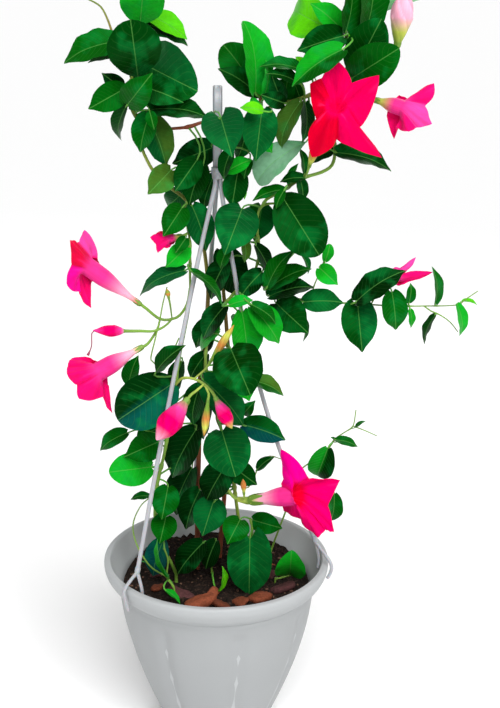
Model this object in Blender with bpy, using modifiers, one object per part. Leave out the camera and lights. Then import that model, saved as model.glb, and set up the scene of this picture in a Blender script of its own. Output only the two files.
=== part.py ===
"""Potted rosea mandevilla: a climbing plant in a hanging pot, with the pot's three-armed hanger.

Metres, +Z up, the origin in the middle of the pot's base, the front towards -Y.
The plant is laid out as a gardener would sketch it: on a pane of glass that stands square to the
sight line. A place on the plant is where it is seen on the pane, in millimetres from the pane's
left and top edges, with its depth in millimetres behind the pot's axis.
"""
import math
import random
from typing import NamedTuple

import bmesh
import bpy
import numpy as np
from mathutils import Vector
from mathutils.bvhtree import BVHTree

MM = 0.001
GAP = 0.0003
SLIVER = 0.00001

# Pot
RIM_Z = 0.200
RIM_RADIUS = 0.1245
BASE_RADIUS = 0.0584
WALL = 0.0026
FLOOR = 0.003
POT_STEPS = 32
PANELS = 8
PANEL_GROOVE = 0.0012
FIRST_GROOVE = math.radians(9)
GROOVE_HALF_TURN = math.radians(2)
GROOVE_FOOT_Z = 0.004
BAND_FOOT_Z = RIM_Z - 0.040
ON_WALL = 0.0005
OUTER_PROFILE = (
    (0.1235, 0.0), (0.1245, 0.004), (0.1235, 0.011), (0.1190, 0.0195), (0.1125, 0.0255), (0.1090, 0.0280),
    (0.1088, 0.036), (0.1035, 0.072), (0.0945, 0.108), (0.0815, 0.146), (0.0668, 0.182), (0.0604, 0.196),
    (BASE_RADIUS, RIM_Z),
)
INNER_LIP = ((0.1175, 0.0), (0.1165, 0.003), (0.1155, 0.012), (0.1085, 0.025), (0.1042, 0.038))

# Potting mix
SOIL_Z = 0.163
SOIL_ROUGHNESS = 0.0016
SOIL_RINGS = (0.0, 0.034, 0.066, 0.088)
SOIL_EDGE_LIFT = 0.002
HOLE_DEPTH = 0.014
HOLE_SIDES = 8
HOLE_LENGTH = 0.05
CHIP_COUNT = 13
CHIP_CORNERS = 5
CHIP_SPACING = 0.024
CHIP_REACH = (0.052, 0.086)
CHIP_SIZE = (0.010, 0.014)
CHIP_BREADTH = 0.66
CHIP_TOP = 0.72
CHIP_HEIGHT = 0.38
CHIP_SUNK = 0.004
CHIP_TILT = 0.12
FRONT_CHIPS = (
    (-0.018, -0.048, 0.018, 0.4), (0.004, -0.052, 0.017, 1.9), (-0.040, -0.026, 0.015, 2.6),
    (0.048, -0.036, 0.016, 0.9), (0.074, -0.016, 0.015, 0.2), (0.026, -0.044, 0.012, 2.2),
    (-0.005, -0.030, 0.012, 1.1), (0.060, 0.016, 0.013, 2.9), (-0.066, -0.012, 0.013, 1.4),
)

# Hanger
HUB_X = 0.0014
HUB_Z = RIM_Z + 0.423
HOOK_TOP_Z = RIM_Z + 0.5105
STRAP_WIDTH = 0.0096
STRAP_THICKNESS = 0.0040
HOOK_INNER_RADIUS = 0.013
HOOK_END = math.radians(-25)
HOOK_STEPS = 10
HUB_SIDES = 12
HUB_FOOT_RADIUS = 0.0052
HUB_TOP_RADIUS = 0.0066
HUB_HEIGHT = 0.012
HUB_LIFT = 0.002
ARM_RADIUS = 0.0023
ARM_SPREAD = 0.0030
ARM_DROP = 0.004
ARM_STEPS = 6
LEG_RADIUS = 0.8 * ARM_RADIUS

# Points of a fork's legs: outward from the rim or the axis, along the rim, and up from it
OUTER_LEG = ((0.0006, 0.0050, 0.003), (0.0002, 0.0055, -0.010))
OUTER_LEG_TIP = (0.0042, 0.0058)
LONGEST_LEG = 0.0245
INNER_LEG = ((0.1136, 0.0050, 0.003), (0.1130, 0.0055, -0.009))


class Clip(NamedTuple):
    """A hanger clip: its azimuth, where its fork starts, its arm's bow outward and its outer leg's length."""
    azimuth: float
    radius: float
    height: float
    bow: float
    leg: float


CLIPS = {
    "front_left": Clip(224.0, 0.1146, 0.020, 0.003, 0.0245),
    "right": Clip(350.0, 0.1095, 0.026, -0.016, 0.0150),
    "back": Clip(104.0, 0.1130, 0.020, 0.0, 0.0200),
}

# Pane of glass that the plant is laid out on
EYE = np.array((0.0, -1.20, RIM_Z + 0.6075))
PITCH = math.radians(17.3)
PANE_DISTANCE = 1.190
AXIS_U = 216.2
MIDDLE_V = 354.0
AHEAD = np.array((0.0, math.cos(PITCH), -math.sin(PITCH)))
UPWARD = np.array((0.0, math.sin(PITCH), math.cos(PITCH)))
RIGHTWARD = np.array((1.0, 0.0, 0.0))

# Leaves, as they grow
STEM_STEP = 0.028
BLADE_THICKNESS = 0.0009
USUAL_BREADTH = 0.70
SUNK = 0.35
FOLD = math.radians(14)
ARCH = 0.09
CLEAR_THICKNESS = 0.0022
FOLDED_WIDTH = 0.029
BLADE_ROWS = (0.13, 0.46, 0.81)
PETIOLE_RADIUS = 0.0009
PETIOLE_REACH = 0.006
SHOOT_REACH = 0.007
STALK_CORNERS = ((0.0, 1.0), (0.87, -0.5), (-0.87, -0.5))
STALK_TAPER = 0.55

# How a leaf that looks too broad or too narrow is leant or turned
BROAD_SHARE = 0.35
NARROW_SHARE = 0.5
MIDDLE_DEPTH = 8
OUTWARD_LOOK = 0.3

# The other leaf of a pair, as shares of the first one's length
PARTNER_FOOT = 0.12
PARTNER_BACK = 0.010
PARTNER_ALONG = 0.42
PARTNER_AWAY = 0.92
PARTNER_WIDTH = 0.80
PARTNER_FACE = (0.0, 0.5, 1.0)

# How far a leaf may be moved to clear its neighbours
PUSH_STEP = 0.003
MOST_PUSHES = 16
LEANS = (0, 0.006, -0.006, 0.013, -0.013, 0.021, -0.021)
LEAN_COST = 0.9

# Flowers
NOTCH_LAG = 0.3
PETAL_THICKNESS = 0.0009
FLOWER_REACH = 0.007
FLOWER_GAP = 0.0005
SMALL_THROAT = 6
BELL_START = 0.12
BELL_RUN = 0.60
BELL_SHARE = 0.80
LIMB_RISE = 0.45
LIMB_FLARE = 0.35
TUBE_SHARES = (0.0, 0.45, 1.0)
LIMB_SHARES = (0.45, 1.0)
THROAT_FLOOR = 0.42
BUD_SIDES = 6
BUD_SHARES = (0.0, 0.22, 0.5, 0.72, 0.9, 1.0)
BUD_SWELL = (0.20, 0.62, 1.0, 0.86, 0.40, 0.07)
THREAD_STEP = 0.010
THREAD_RADIUS = 0.0006
THREAD_TIP_RADIUS = 0.0016


# Outlines of a blade: how it rises from its base, how it closes at its tip, how deep its heart notch is
OVAL = (0.50, 0.70, 0.10)
HEART = (0.42, 0.72, 0.24)
ROUND = (0.50, 0.50, 0.08)
LANCE = (0.75, 0.85, 0.0)
WEDGE = (0.90, 0.45, 0.0)


class Leaf(NamedTuple):
    """A leaf on the pane: its base and tip, its seen width and its depth; paired has a partner behind."""
    base: tuple
    tip: tuple
    width: float
    depth: float
    paired: bool = False
    form: tuple = OVAL


class Stem(NamedTuple):
    """A stem through places (u, v, depth); thick and thin are its radii in mm at its foot and tip."""
    places: tuple
    thick: float
    thin: float


class Shoot(NamedTuple):
    """A leafy stem: its hole in the mix, if it stands there, its stems, main one first, and its leaves."""
    root: tuple
    stems: tuple
    leaves: tuple
    colour: tuple


class Lobe(NamedTuple):
    """A petal lobe: its tip (u, v, depth behind the mouth), the notch after it, and both sides' swell."""
    tip: tuple
    notch: tuple
    swell: tuple


class Bloom(NamedTuple):
    """An open flower: foot and mouth of its tube, both radii in mm, and its lobes, clockwise."""
    foot: tuple
    mouth: tuple
    neck: float
    throat: float
    lobes: tuple


class Bud(NamedTuple):
    """A closed flower from its foot to its tip, with its widest width in mm, and a withered thread on it."""
    foot: tuple
    tip: tuple
    width: float
    thread: tuple = ()


WOODY = (0.16, 0.08, 0.05)
GREEN = (0.03, 0.17, 0.04)
PINK = (0.85, 0.01, 0.13)

SHOOTS = {
    "crown_left_vine": Shoot(
        (-0.022, 0.030),
        (
            Stem(((198, 486, 30), (199, 440, 30), (198, 400, 30), (203, 350, 34), (208, 300, 28),
                  (205, 255, 18), (196, 215, 16), (184, 198, 16), (171, 188, 6), (155, 173, -4),
                  (146, 158, -8), (141, 145, -8),
                  (140, 131, -8), (136, 116, -8), (129, 104, -8), (128, 92, -6), (131, 80, -4), (136, 66, -2),
                  (141, 46, 0), (140, 24, 2), (143, 2, 4)), 2.6, 1.2),
            Stem(((136, 66, -2), (124, 56, -6), (116, 46, -8), (112, 32, -6), (107, 18, -2), (101, 7, 2),
                  (92, 1, 6), (82, -3, 8)), 1.3, 0.7),
        ),
        (
            Leaf((121, 41), (65, 60), 26, -14),
            Leaf((140, 24), (146, -38), 44, 4, True, LANCE),
            Leaf((141, 24), (187, 42), 21, -12),
            Leaf((150, 16), (186, 38), 20, 10),
            Leaf((138, 78), (131, 23), 52, -20, True, WEDGE),
            Leaf((140, 62), (195, 90), 60, -8, True, ROUND),
            Leaf((150, 110), (207, 115.5), 23, -24),
            Leaf((140, 86), (181, 101), 28, -4),
            Leaf((128, 104), (150, 76), 30, -30, True),
            Leaf((146, 92), (172, 79), 16, -14),
            Leaf((124, 89), (90, 108), 28, -20),
            Leaf((122, 88), (103, 74), 17, -10),
            Leaf((113, 56.5), (88.5, 62), 8, -8),
            Leaf((118, 101), (98, 107), 7, -26),
            Leaf((127, 105), (118, 140), 14, -24),
            Leaf((150, 113), (140, 151), 25, -12),
            Leaf((149, 118), (166, 165), 31, -22, True),
            Leaf((150, 112), (154, 129), 12, -28),
        ),
        WOODY,
    ),
    "crown_right_vine": Shoot(
        (0.004, 0.052),
        (
            Stem(((224, 500, 48), (228, 440, 44), (230, 380, 38), (226, 320, 30), (222, 260, 24),
                  (230, 215, 18),
                  (233, 180, 14), (231, 158, 12), (234, 138, 10), (244, 119, 6), (262, 111, 2), (283, 103, 0),
                  (300, 99, -2), (320, 90, 4), (340, 80, 10), (350, 66, 10), (348, 48, 8), (346, 28, 6),
                  (349, 5, 4)), 2.4, 1.1),
            Stem(((350, 66, 10), (358, 46, 12), (366, 28, 12), (370, 8, 12)), 1.2, 0.9),
            Stem(((262, 111, 2), (260, 96, 2), (257, 78, 2)), 1.1, 0.9),
            Stem(((350, 66, 10), (353, 82, 8), (361, 94, 2), (370, 99, -3)), 1.0, 1.6),
            Stem(((350, 58, 10), (370, 61, 12), (387, 57, 10), (396, 48, 8)), 1.0, 1.8),
        ),
        (
            Leaf((262, 110), (256, 158), 36, -12, True),
            Leaf((257, 135), (272, 152), 14, -28),
            Leaf((300, 103), (279, 147), 20, -14, True),
            Leaf((306, 142), (255, 180), 32, -20, False, WEDGE),
            Leaf((255, 92), (246, 21), 30, -4, False, ROUND),
            Leaf((257, 94), (220, 69), 22, -10),
            Leaf((264, 96), (268, 62), 14, -8),
            Leaf((257, 92), (224, 44), 38, 6, True, ROUND),
            Leaf((303, 71), (262, 65), 12, -6),
            Leaf((297, 82), (268, 73), 13, -8),
            Leaf((284, 103), (262, 95), 17, -10),
            Leaf((283, 102), (289, 74), 19, -6),
            Leaf((281, 100), (272, 76), 18, 6),
            Leaf((300, 96), (270, 84), 18, 10),
            Leaf((262, 111), (241, 107), 12, -16),
            Leaf((257, 113), (252, 97), 11, -20),
            Leaf((325, 27), (291, 9), 43, 8, True, ROUND),
            Leaf((341, 29), (312, 4), 22, 0),
            Leaf((343, 36), (299, 50), 30, -6, True),
            Leaf((322, 51), (302, 65), 17, -14),
            Leaf((306, 66), (296, 57), 9, 8),
            Leaf((342, 50), (293.5, 84.5), 27, -24),
            Leaf((346, 30), (351, -34), 24, -6),
            Leaf((366, 30), (373, -30), 26, 2, True),
            Leaf((352, 78), (398, 49), 42, -12, True, ROUND),
            Leaf((355, 70), (381, 20), 40, 2, False, ROUND),
            Leaf((352, 74), (346, 28), 9, -14),
            Leaf((349, 62), (354, 44), 8, -18),
            Leaf((337, 153), (390, 169), 21, -2),
            Leaf((305, 103), (304, 141), 14, -6),
            Leaf((300, 98), (292, 76), 16, 4),
            Leaf((376, 10), (418, -2), 16, 12),
            Leaf((238, 170), (232, 206), 26, 4),
            Leaf((228, 171), (251, 160), 15, -16),
            Leaf((250, 160), (244, 178), 12, -8),
            Leaf((241, 185), (245, 199), 5, -6),
            Leaf((232, 150), (223, 179), 15, 2),
            Leaf((246, 128), (237, 160), 18, 8),
        ),
        WOODY,
    ),
    "runner_behind_hook": Shoot(
        None,
        (Stem(((241, 120, 12), (231, 122, 14), (218, 123, 14), (204, 122, 10), (188, 127, 4), (168, 129, -2),
               (150, 131, -3)), 1.5, 1.2),),
        (
            Leaf((221, 118), (231, 153), 43, -22, True, HEART),
            Leaf((214, 147), (174, 163), 30, -8, True),
            Leaf((197, 160), (176, 190), 26, -14),
            Leaf((203, 166), (189, 204), 26, 0),
        ),
        WOODY,
    ),
    "left_vine": Shoot(
        (-0.045, 0.004),
        (
            Stem(((160, 540, -12), (155, 510, -14), (158, 480, -16), (164, 455, -18), (170, 420, -20),
                  (175, 388, -22), (179, 360, -20), (186, 325, -16), (190, 300, -12), (190, 272, -10),
                  (190, 243, -8), (187, 225, -6), (186, 207, -4), (190, 192, 0), (197, 176, 4)), 2.0, 1.1),
            Stem(((188, 232, -7), (186, 235, -11), (182, 236, -15)), 0.9, 1.3),
        ),
        (
            Leaf((171, 170), (149, 193), 27, -6, True),
            Leaf((186, 190), (167, 207), 25, 12),
            Leaf((182, 208), (164, 235), 28, -14, True),
            Leaf((192, 206), (206, 249), 28, 0, True),
            Leaf((186, 238), (176, 252), 14, -18),
            Leaf((187, 247), (167, 266), 22, -12, True),
            Leaf((184, 271), (139, 292), 17, -18),
            Leaf((192, 272), (223, 303), 9, -34),
            Leaf((214, 176), (203, 208), 20, 4, True),
            Leaf((172, 384), (118, 420), 54, -20, True, ROUND),
            Leaf((129, 383), (137, 357), 18, -6),
            Leaf((156, 372), (184, 346), 18, -30, False, LANCE),
            Leaf((127, 433), (100, 449), 17, -10),
            Leaf((151, 467), (110, 472), 34, -24, True, ROUND),
            Leaf((158, 442), (126, 456), 30, -14, True),
            Leaf((160, 428), (136, 440), 16, -4),
            Leaf((168, 487), (162, 518), 28, -20, True),
            Leaf((166, 517), (160, 542), 27, -14),
            Leaf((200, 386), (192, 424), 22, -12, True),
            Leaf((196, 430), (172, 476), 34, -4, True),
            Leaf((182, 362), (175, 393), 17, -6),
            Leaf((192, 468), (174, 514), 30, 4),
        ),
        GREEN,
    ),
    "right_vine": Shoot(
        (0.020, 0.030),
        (
            Stem(((240, 540, 28), (236, 500, 20), (230, 460, 12), (222, 432, 6), (214, 405, 4), (207, 378, 2),
                  (206, 350, 2), (213, 325, 4), (225, 304, 5), (240, 287, 6), (255, 270, 5), (259, 250, 5),
                  (257, 226, 5), (262, 206, 4), (285, 203, 7)), 2.2, 1.1),
            Stem(((232, 478, 14), (246, 488, 4), (254, 478, 0), (260, 462, -2), (270, 456, -4),
                  (281, 459, -6)), 0.8, 0.5),
        ),
        (
            Leaf((242, 209), (226, 251), 45, -18, True),
            Leaf((262, 206), (256, 241), 32, -8),
            Leaf((284, 199), (319, 255), 50, -20, True, ROUND),
            Leaf((222, 250), (240, 296), 34, 12, True),
            Leaf((226, 262), (210, 298), 24, 2),
            Leaf((244, 240), (245, 262), 10, -8),
            Leaf((228, 248), (220, 268), 14, -4),
            Leaf((225, 306), (203, 338), 22, 6, True),
            Leaf((219, 331), (199, 350), 13, -12),
            Leaf((256, 246), (270, 277), 14, -8),
            Leaf((242, 312), (247, 360), 33, -24, True),
            Leaf((252, 307), (279, 342), 28, -20, True),
            Leaf((252, 305), (276, 322), 14, -28),
            Leaf((230, 305), (252, 300), 12, -26),
            Leaf((231, 349), (249, 392), 51, -34, True, ROUND),
            Leaf((241, 378), (249, 400), 21, -28),
            Leaf((250, 380), (283, 394), 16, -24),
            Leaf((203, 380), (243, 424), 36, -16, True),
            Leaf((244, 413), (254, 402), 14, -24),
            Leaf((244, 425), (284, 439), 27, -34, True),
            Leaf((222, 431), (235, 475), 49, -40, True, ROUND),
            Leaf((232, 466), (256, 484), 24, -4),
            Leaf((258, 469), (273, 457), 10, -4),
            Leaf((228, 462), (206, 500), 32, 4, True),
            Leaf((214, 500), (203, 534), 34, -8, True),
            Leaf((200, 490), (186, 528), 26, 10, True),
            Leaf((206, 354), (190, 378), 19, 6),
            Leaf((210, 320), (196, 347), 18, 10),
            Leaf((206, 394), (203, 438), 24, 12),
            Leaf((262, 272), (240, 297), 22, 6),
            Leaf((216, 322), (206, 353), 17, 4),
        ),
        GREEN,
    ),
    "right_shoot": Shoot(
        None,
        (
            Stem(((255, 270, 5), (264, 286, 0), (280, 295, 2), (310, 301, 4), (341, 303, 6), (352, 303, 6),
                  (377, 305, 6), (400, 306, 5), (424, 306, 4), (456, 305, 0), (466, 299, -2), (478, 291, -4)),
                 1.3, 0.5),
            Stem(((424, 306, 4), (431, 311, 3), (440, 315, 2), (450, 322, 0), (458, 332, -2)), 0.8, 0.5),
            Stem(((310, 301, 4), (314, 286, 0), (320, 272, -4), (325, 258, -6)), 0.9, 0.5),
            Stem(((371, 305, 6), (375, 296, 8), (381, 287, 7)), 0.8, 1.2),
            Stem(((280, 295, 2), (277, 282, -2), (282, 268, -4)), 0.9, 0.6),
        ),
        (
            Leaf((304, 302), (342, 302), 24, -6),
            Leaf((276, 303), (306, 331), 38, -12, True),
            Leaf((303, 318), (304, 341), 5, -6),
            Leaf((270, 296), (312, 286), 20, 4, True),
            Leaf((271, 287), (309, 268), 19, -12),
            Leaf((268, 286), (291, 251), 18, -16),
            Leaf((301, 254), (309, 273), 6, -4),
            Leaf((325, 261), (330, 244), 11, -8, False, ROUND),
            Leaf((320, 268), (337, 284), 20, -10),
            Leaf((357, 301), (403, 271), 26, -12),
            Leaf((358, 307), (362, 350), 36, -4, False, HEART),
            Leaf((392, 292), (396, 329), 26, -4),
            Leaf((409, 302), (411, 284), 10, 2),
            Leaf((410, 310), (411, 327.5), 7, 2),
            Leaf((435, 303), (433, 268), 9, 2),
            Leaf((435, 316), (424, 343), 8, 0),
            Leaf((457, 305), (462, 335), 10, -2),
            Leaf((463, 301), (477, 304), 4, 0),
        ),
        GREEN,
    ),
    "low_right_shoot": Shoot(
        (0.062, 0.050),
        (
            Stem(((290, 500, 52), (300, 472, 50), (308, 464, 48), (320, 456, 48), (329, 448, 48),
                  (335, 439, 48),
                  (345, 432, 48), (353, 426, 48), (356, 410, 48)), 1.3, 0.6),
            Stem(((300, 472, 50), (313, 484, 44), (326, 492, 36), (334, 495, 28)), 0.9, 0.7),
            Stem(((353, 426, 48), (366, 431, 46), (377, 436, 46)), 0.7, 0.5),
        ),
        (
            Leaf((328, 448), (317, 477), 27, 40, False, ROUND),
            Leaf((336, 440), (357, 446), 9, 46),
            Leaf((334, 494), (331, 521), 16, 22, False, ROUND),
            Leaf((356, 427), (365, 421), 4, 46),
            Leaf((336, 441), (331, 437), 3, 46),
        ),
        GREEN,
    ),
    "front_shoot": Shoot(
        (0.026, 0.004),
        (Stem(((246, 560, -2), (250, 545, -6), (252, 530, -6), (250, 518, -4)), 1.5, 1.0),),
        (
            Leaf((250, 538), (249, 595), 45, -14, False, HEART),
            Leaf((240, 520), (228, 543), 28, -14),
            Leaf((253, 520), (281, 528), 22, 2, True),
        ),
        GREEN,
    ),
    "left_foot_shoot": Shoot(
        (-0.046, -0.030),
        (
            Stem(((167, 577, -28), (168, 560, -28), (164, 548, -26)), 1.1, 0.9),
            Stem(((167, 577, -28), (150, 566, -26), (137, 545, -20), (133, 525, -16), (140, 507, -12),
                  (149, 498, -10)), 1.0, 0.6),
        ),
        (
            Leaf((163, 541), (153, 575), 24, -16, True),
            Leaf((168, 575), (157, 541), 5, -34),
            Leaf((166, 577), (143, 560.5), 5, -34),
            Leaf((166, 591), (180, 603), 6, -34),
            Leaf((149, 496), (131, 498.5), 8, -12),
        ),
        GREEN,
    ),
    "heart_leaf_shoot": Shoot(
        (0.066, -0.004),
        (Stem(((291, 584, -3), (291, 578, -1), (290.5, 575, 1)), 1.1, 0.8),),
        (
            Leaf((290, 577), (291.5, 551), 30, -2, False, HEART),
        ),
        GREEN,
    ),
    "middle_foot_shoot": Shoot(
        (-0.004, 0.010),
        (Stem(((212, 572, 8), (210, 556, 8), (206, 543, 6)), 1.3, 0.9),),
        (
            Leaf((203, 543), (178, 573), 26, -6, True),
            Leaf((216, 541), (206, 568), 20, 0),
            Leaf((219, 590), (224, 568), 5, -14),
        ),
        GREEN,
    ),
    "top_bloom_stalk": Shoot(
        None,
        (
            Stem(((262, 206, 4), (267, 199, -7), (276, 194, -10), (288, 187, -9), (303, 178, -6),
                  (322, 172, -4), (332, 165, -2),
                  (335, 152, 0), (334, 138, 0)), 1.6, 1.8),
            Stem(((303, 178, -6), (306, 173, -16), (308, 169, -20)), 1.1, 1.2),
        ),
        (
            Leaf((284, 190), (253.5, 200), 11, -16),
            Leaf((276, 192), (262, 194), 7, -22),
            Leaf((304, 178), (281, 181), 11, -14),
            Leaf((300, 179), (303, 201), 12, -14),
            Leaf((284, 191), (276, 208), 10, -24),
            Leaf((290, 185), (297, 164), 8, -12),
            Leaf((334, 150), (309, 163), 14, 2),
            Leaf((304, 173), (300, 149), 9, -4),
        ),
        GREEN,
    ),
    "left_bloom_stalk": Shoot(
        None,
        (
            Stem(((190, 288, -12), (187, 304, -16), (180, 315, -18), (172, 319, -20), (160, 319, -22),
                  (150, 312, -24), (141, 305, -26)), 1.3, 1.6),
            Stem(((172, 319, -20), (165, 326, -22), (154, 331, -24), (140, 331, -26), (125, 331, -28)),
                 1.0, 1.8),
            Stem(((160, 319, -22), (157, 330, -20), (152, 338, -20), (143, 346, -22)), 1.0, 1.6),
            Stem(((160, 319, -22), (163, 303, -20), (167, 287, -18)), 0.8, 0.6),
            Stem(((160, 319, -22), (155, 340, -24), (151, 360, -26), (160, 363, -28), (172, 352, -30),
                  (179, 338, -32)), 0.8, 0.7),
            Stem(((172, 319, -20), (172, 308, -24), (169, 300, -28)), 0.7, 1.1),
        ),
        (),
        GREEN,
    ),
    "hanging_bud_stalk": Shoot(
        None,
        (
            Stem(((176, 384, -22), (183, 378, -32), (194, 379, -40), (204, 384, -46), (212, 390, -50),
                  (215, 397, -52)), 1.3, 1.6),
            Stem(((204, 384, -46), (196, 391, -54), (188, 399, -63)), 1.1, 1.6),
            Stem(((204, 384, -46), (208, 392, -50), (208, 399, -52)), 0.9, 1.5),
            Stem(((194, 379, -40), (203, 372, -40), (209, 364, -38)), 0.9, 1.2),
        ),
        (),
        GREEN,
    ),
    "low_bloom_stalk": Shoot(
        None,
        (
            Stem(((230, 460, 12), (219, 472, 0), (226, 487, -10), (235, 498, -17), (243, 500, -19)),
                 1.3, 2.0),
            Stem(((236, 498, -18), (243, 498, -24), (244, 495, -26)), 1.0, 1.2),
            Stem(((238, 499, -18), (251, 500, -20)), 2.8, 4.8),
        ),
        (),
        GREEN,
    ),
}

BLOOMS = {
    "bloom_top_front": Bloom((334, 134, 0), (337, 106, -44), 3.5, 9.0, (
        Lobe((335, 59, 6), (352, 83), (0.05, 0.10)),
        Lobe((379, 75, 4), (358, 129), (0.03, 0.09)),
        Lobe((382, 158, 2), (337, 140), (0.07, 0.02)),
        Lobe((312, 157, -2), (316, 120), (0.14, 0.15)),
        Lobe((310, 84, 2), (322, 78), (0.04, 0.05)))),
    "bloom_top_side": Bloom((374, 99.5, -4), (402, 108, -10), 2.6, 8.0, (
        Lobe((399, 95, 14), (408, 100), (0.10, 0.0)),
        Lobe((434, 83, 6), (425, 106), (0.11, 0.18)),
        Lobe((432, 124, -12), (415, 128), (0.0, 0.05)),
        Lobe((408, 131, -18), (397, 127), (0.10, 0.10)),
        Lobe((394, 139, 4), (387, 113), (0.0, 0.05)))),
    "bloom_upper_left": Bloom((140, 304, -26), (87, 266, -34), 2.4, 9.5, (
        Lobe((85, 230, 6), (98, 258), (0.08, 0.12)),
        Lobe((101, 271, 24), (91, 284), (0.0, 0.0)),
        Lobe((91, 308, 4), (80, 291), (0.0, 0.10)),
        Lobe((67, 284, -16), (72, 264), (0.18, 0.12)),
        Lobe((70, 240, -18), (79, 242), (0.0, 0.05)))),
    "bloom_lower_left": Bloom((142, 347, -22), (98, 372, -32), 2.6, 10.0, (
        Lobe((72, 358, 4), (93, 359), (0.05, 0.08)),
        Lobe((106, 366, 24), (109, 386), (0.0, 0.0)),
        Lobe((112, 413, 4), (103, 396), (0.0, 0.05)),
        Lobe((79, 399, -18), (77, 384), (0.10, 0.10)),
        Lobe((67, 374, -20), (68, 364), (0.10, 0.05)))),
    "bloom_low_right": Bloom((252, 500, -20), (297, 495, -44), 5.2, 11.0, (
        Lobe((281, 449, 4), (309, 480), (0.02, 0.10)),
        Lobe((340, 480, 6), (328, 506), (0.03, 0.0)),
        Lobe((334, 532, -8), (326, 529), (0.02, 0.0)),
        Lobe((318, 537, -2), (301, 521), (0.05, 0.0)),
        Lobe((284, 511, 22), (283, 479), (0.0, 0.0)))),
    "half_open_left": Bloom((181, 236, -16), (169, 239, -18), 2.2, 4.0, (
        Lobe((164, 231, 4), (175, 235), (0.10, 0.10)),
        Lobe((177, 239, 8), (172, 244), (0.10, 0.10)),
        Lobe((168, 248, -2), (163, 247), (0.10, 0.10)),
        Lobe((158, 253, -6), (156, 244), (0.10, 0.10)),
        Lobe((150, 237, -4), (157, 233), (0.05, 0.05)))),
    "half_open_right": Bloom((382, 285, 6), (397, 277, 8), 2.4, 5.0, (
        Lobe((395, 267, 6), (402, 268), (0.05, 0.05)),
        Lobe((416, 257, 2), (405, 273), (0.05, 0.10)),
        Lobe((433, 272, -4), (410, 281), (0.06, 0.08)),
        Lobe((403, 284, -4), (396, 285), (0.05, 0.05)),
        Lobe((390, 281, 6), (389, 273), (0.05, 0.05)))),
}

BUDS = {
    "bud_top_pale": Bud((397, 46, 8), (406, -12, 6), 22),
    "bud_beside_top_bloom": Bud((309, 167, -22), (318, 140, -30), 9),
    "bud_left_slender": Bud((124, 331, -28), (93, 330.5, -34), 12,
                            ((96, 330.5, -34), (92, 333, -34), (91.5, 346, -33), (88, 355, -32))),
    "bud_left_small": Bud((169, 299, -29), (167, 289, -29), 5),
    "bud_hanging_large": Bud((187, 400, -64), (156.5, 440, -86), 24),
    "bud_hanging_green": Bud((208, 400, -53), (204, 436, -58), 8),
    "bud_hanging_pink": Bud((215.5, 398, -53), (232, 428.5, -60), 15),
    "bud_upright": Bud((209.5, 363, -38), (234, 325, -42), 8),
    "bud_low_small": Bud((244, 494, -26), (243, 479, -26), 6),
}


# Places and curves
def unit(vector):
    """The vector at length one."""
    return vector / np.linalg.norm(vector)


def sight(u, v, depth):
    """The point seen at (u, v) on the pane that lies depth mm behind the pot's axis."""
    ray = AHEAD * PANE_DISTANCE + RIGHTWARD * (u - AXIS_U) * MM + UPWARD * (MIDDLE_V - v) * MM
    return EYE + ray * (depth * MM - EYE[1]) / ray[1]


def pushed(point, distance):
    """The point moved along its own sight line, away from the eye."""
    return point + unit(point - EYE) * distance


def smooth_route(points, step):
    """Points about a step apart along the smooth curve through the given ones."""
    points = [np.array(p, float) for p in points]
    ends = [2 * points[0] - points[1]] + points + [2 * points[-1] - points[-2]]
    route = []
    for before, start, end, after in zip(ends, ends[1:], ends[2:], ends[3:]):
        pieces = max(1, round(np.linalg.norm(end - start) / step))
        for k in range(pieces):
            t = k / pieces
            route.append(0.5 * (2 * start + (end - before) * t
                                + (2 * before - 5 * start + 4 * end - after) * t**2
                                + (3 * start - before - 3 * end + after) * t**3))
    route.append(points[-1])
    return np.array(route)


# Solids of the plant, as points and faces
def loft(rings):
    """A closed solid through rings of equal length, capped flat at both ends."""
    count = len(rings[0])
    points = [tuple(p) for ring in rings for p in ring]
    faces = [tuple(reversed(range(count)))]
    for k in range(len(rings) - 1):
        low = k * count
        for j in range(count):
            nxt = (j + 1) % count
            faces.append((low + j, low + nxt, low + count + nxt, low + count + j))
    faces.append(tuple(range((len(rings) - 1) * count, len(rings) * count)))
    return points, faces


def rod(route, radii, sides):
    """A stem of few sides along a route, with a radius at each of its points."""
    rings = []
    across = None
    for k, point in enumerate(route):
        along = unit(route[min(k + 1, len(route) - 1)] - route[max(k - 1, 0)])
        if across is None:
            across = unit(np.cross(along, RIGHTWARD if abs(along[0]) < 0.9 else UPWARD))
        across = unit(across - along * across.dot(along))
        other = np.cross(along, across)
        angles = [math.tau * j / sides for j in range(sides)]
        rings.append([point + radii[k] * (across * math.cos(a) + other * math.sin(a)) for a in angles])
    return loft(rings)


def half_width(s, form):
    """A blade's half width at the share s of its length, as a share of its greatest one."""
    rise, close, _ = form
    widest = rise / (rise + close)
    return (s / widest) ** rise * ((1 - s) / (1 - widest)) ** close


class Blade(NamedTuple):
    """A leaf in space: base, tip, real width, the direction that its upper face looks to, and its outline."""
    base: np.ndarray
    tip: np.ndarray
    width: float
    face: np.ndarray
    form: tuple


def blade_point(blade, s, q):
    """The point of the blade's middle surface at s along its midrib and q, from -1 to 1, across it."""
    axis = blade.tip - blade.base
    length = np.linalg.norm(axis)
    side = unit(np.cross(axis, blade.face))
    half = blade.width / 2 * half_width(s, blade.form)
    back = blade.form[2] * length * abs(q) ** 1.5 * (1 - s) ** 4
    lift = ARCH * length * 4 * s * (1 - s) + abs(q) * half * math.sin(FOLD)
    return blade.base + axis * s - unit(axis) * back + side * q * half * math.cos(FOLD) + blade.face * lift


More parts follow.
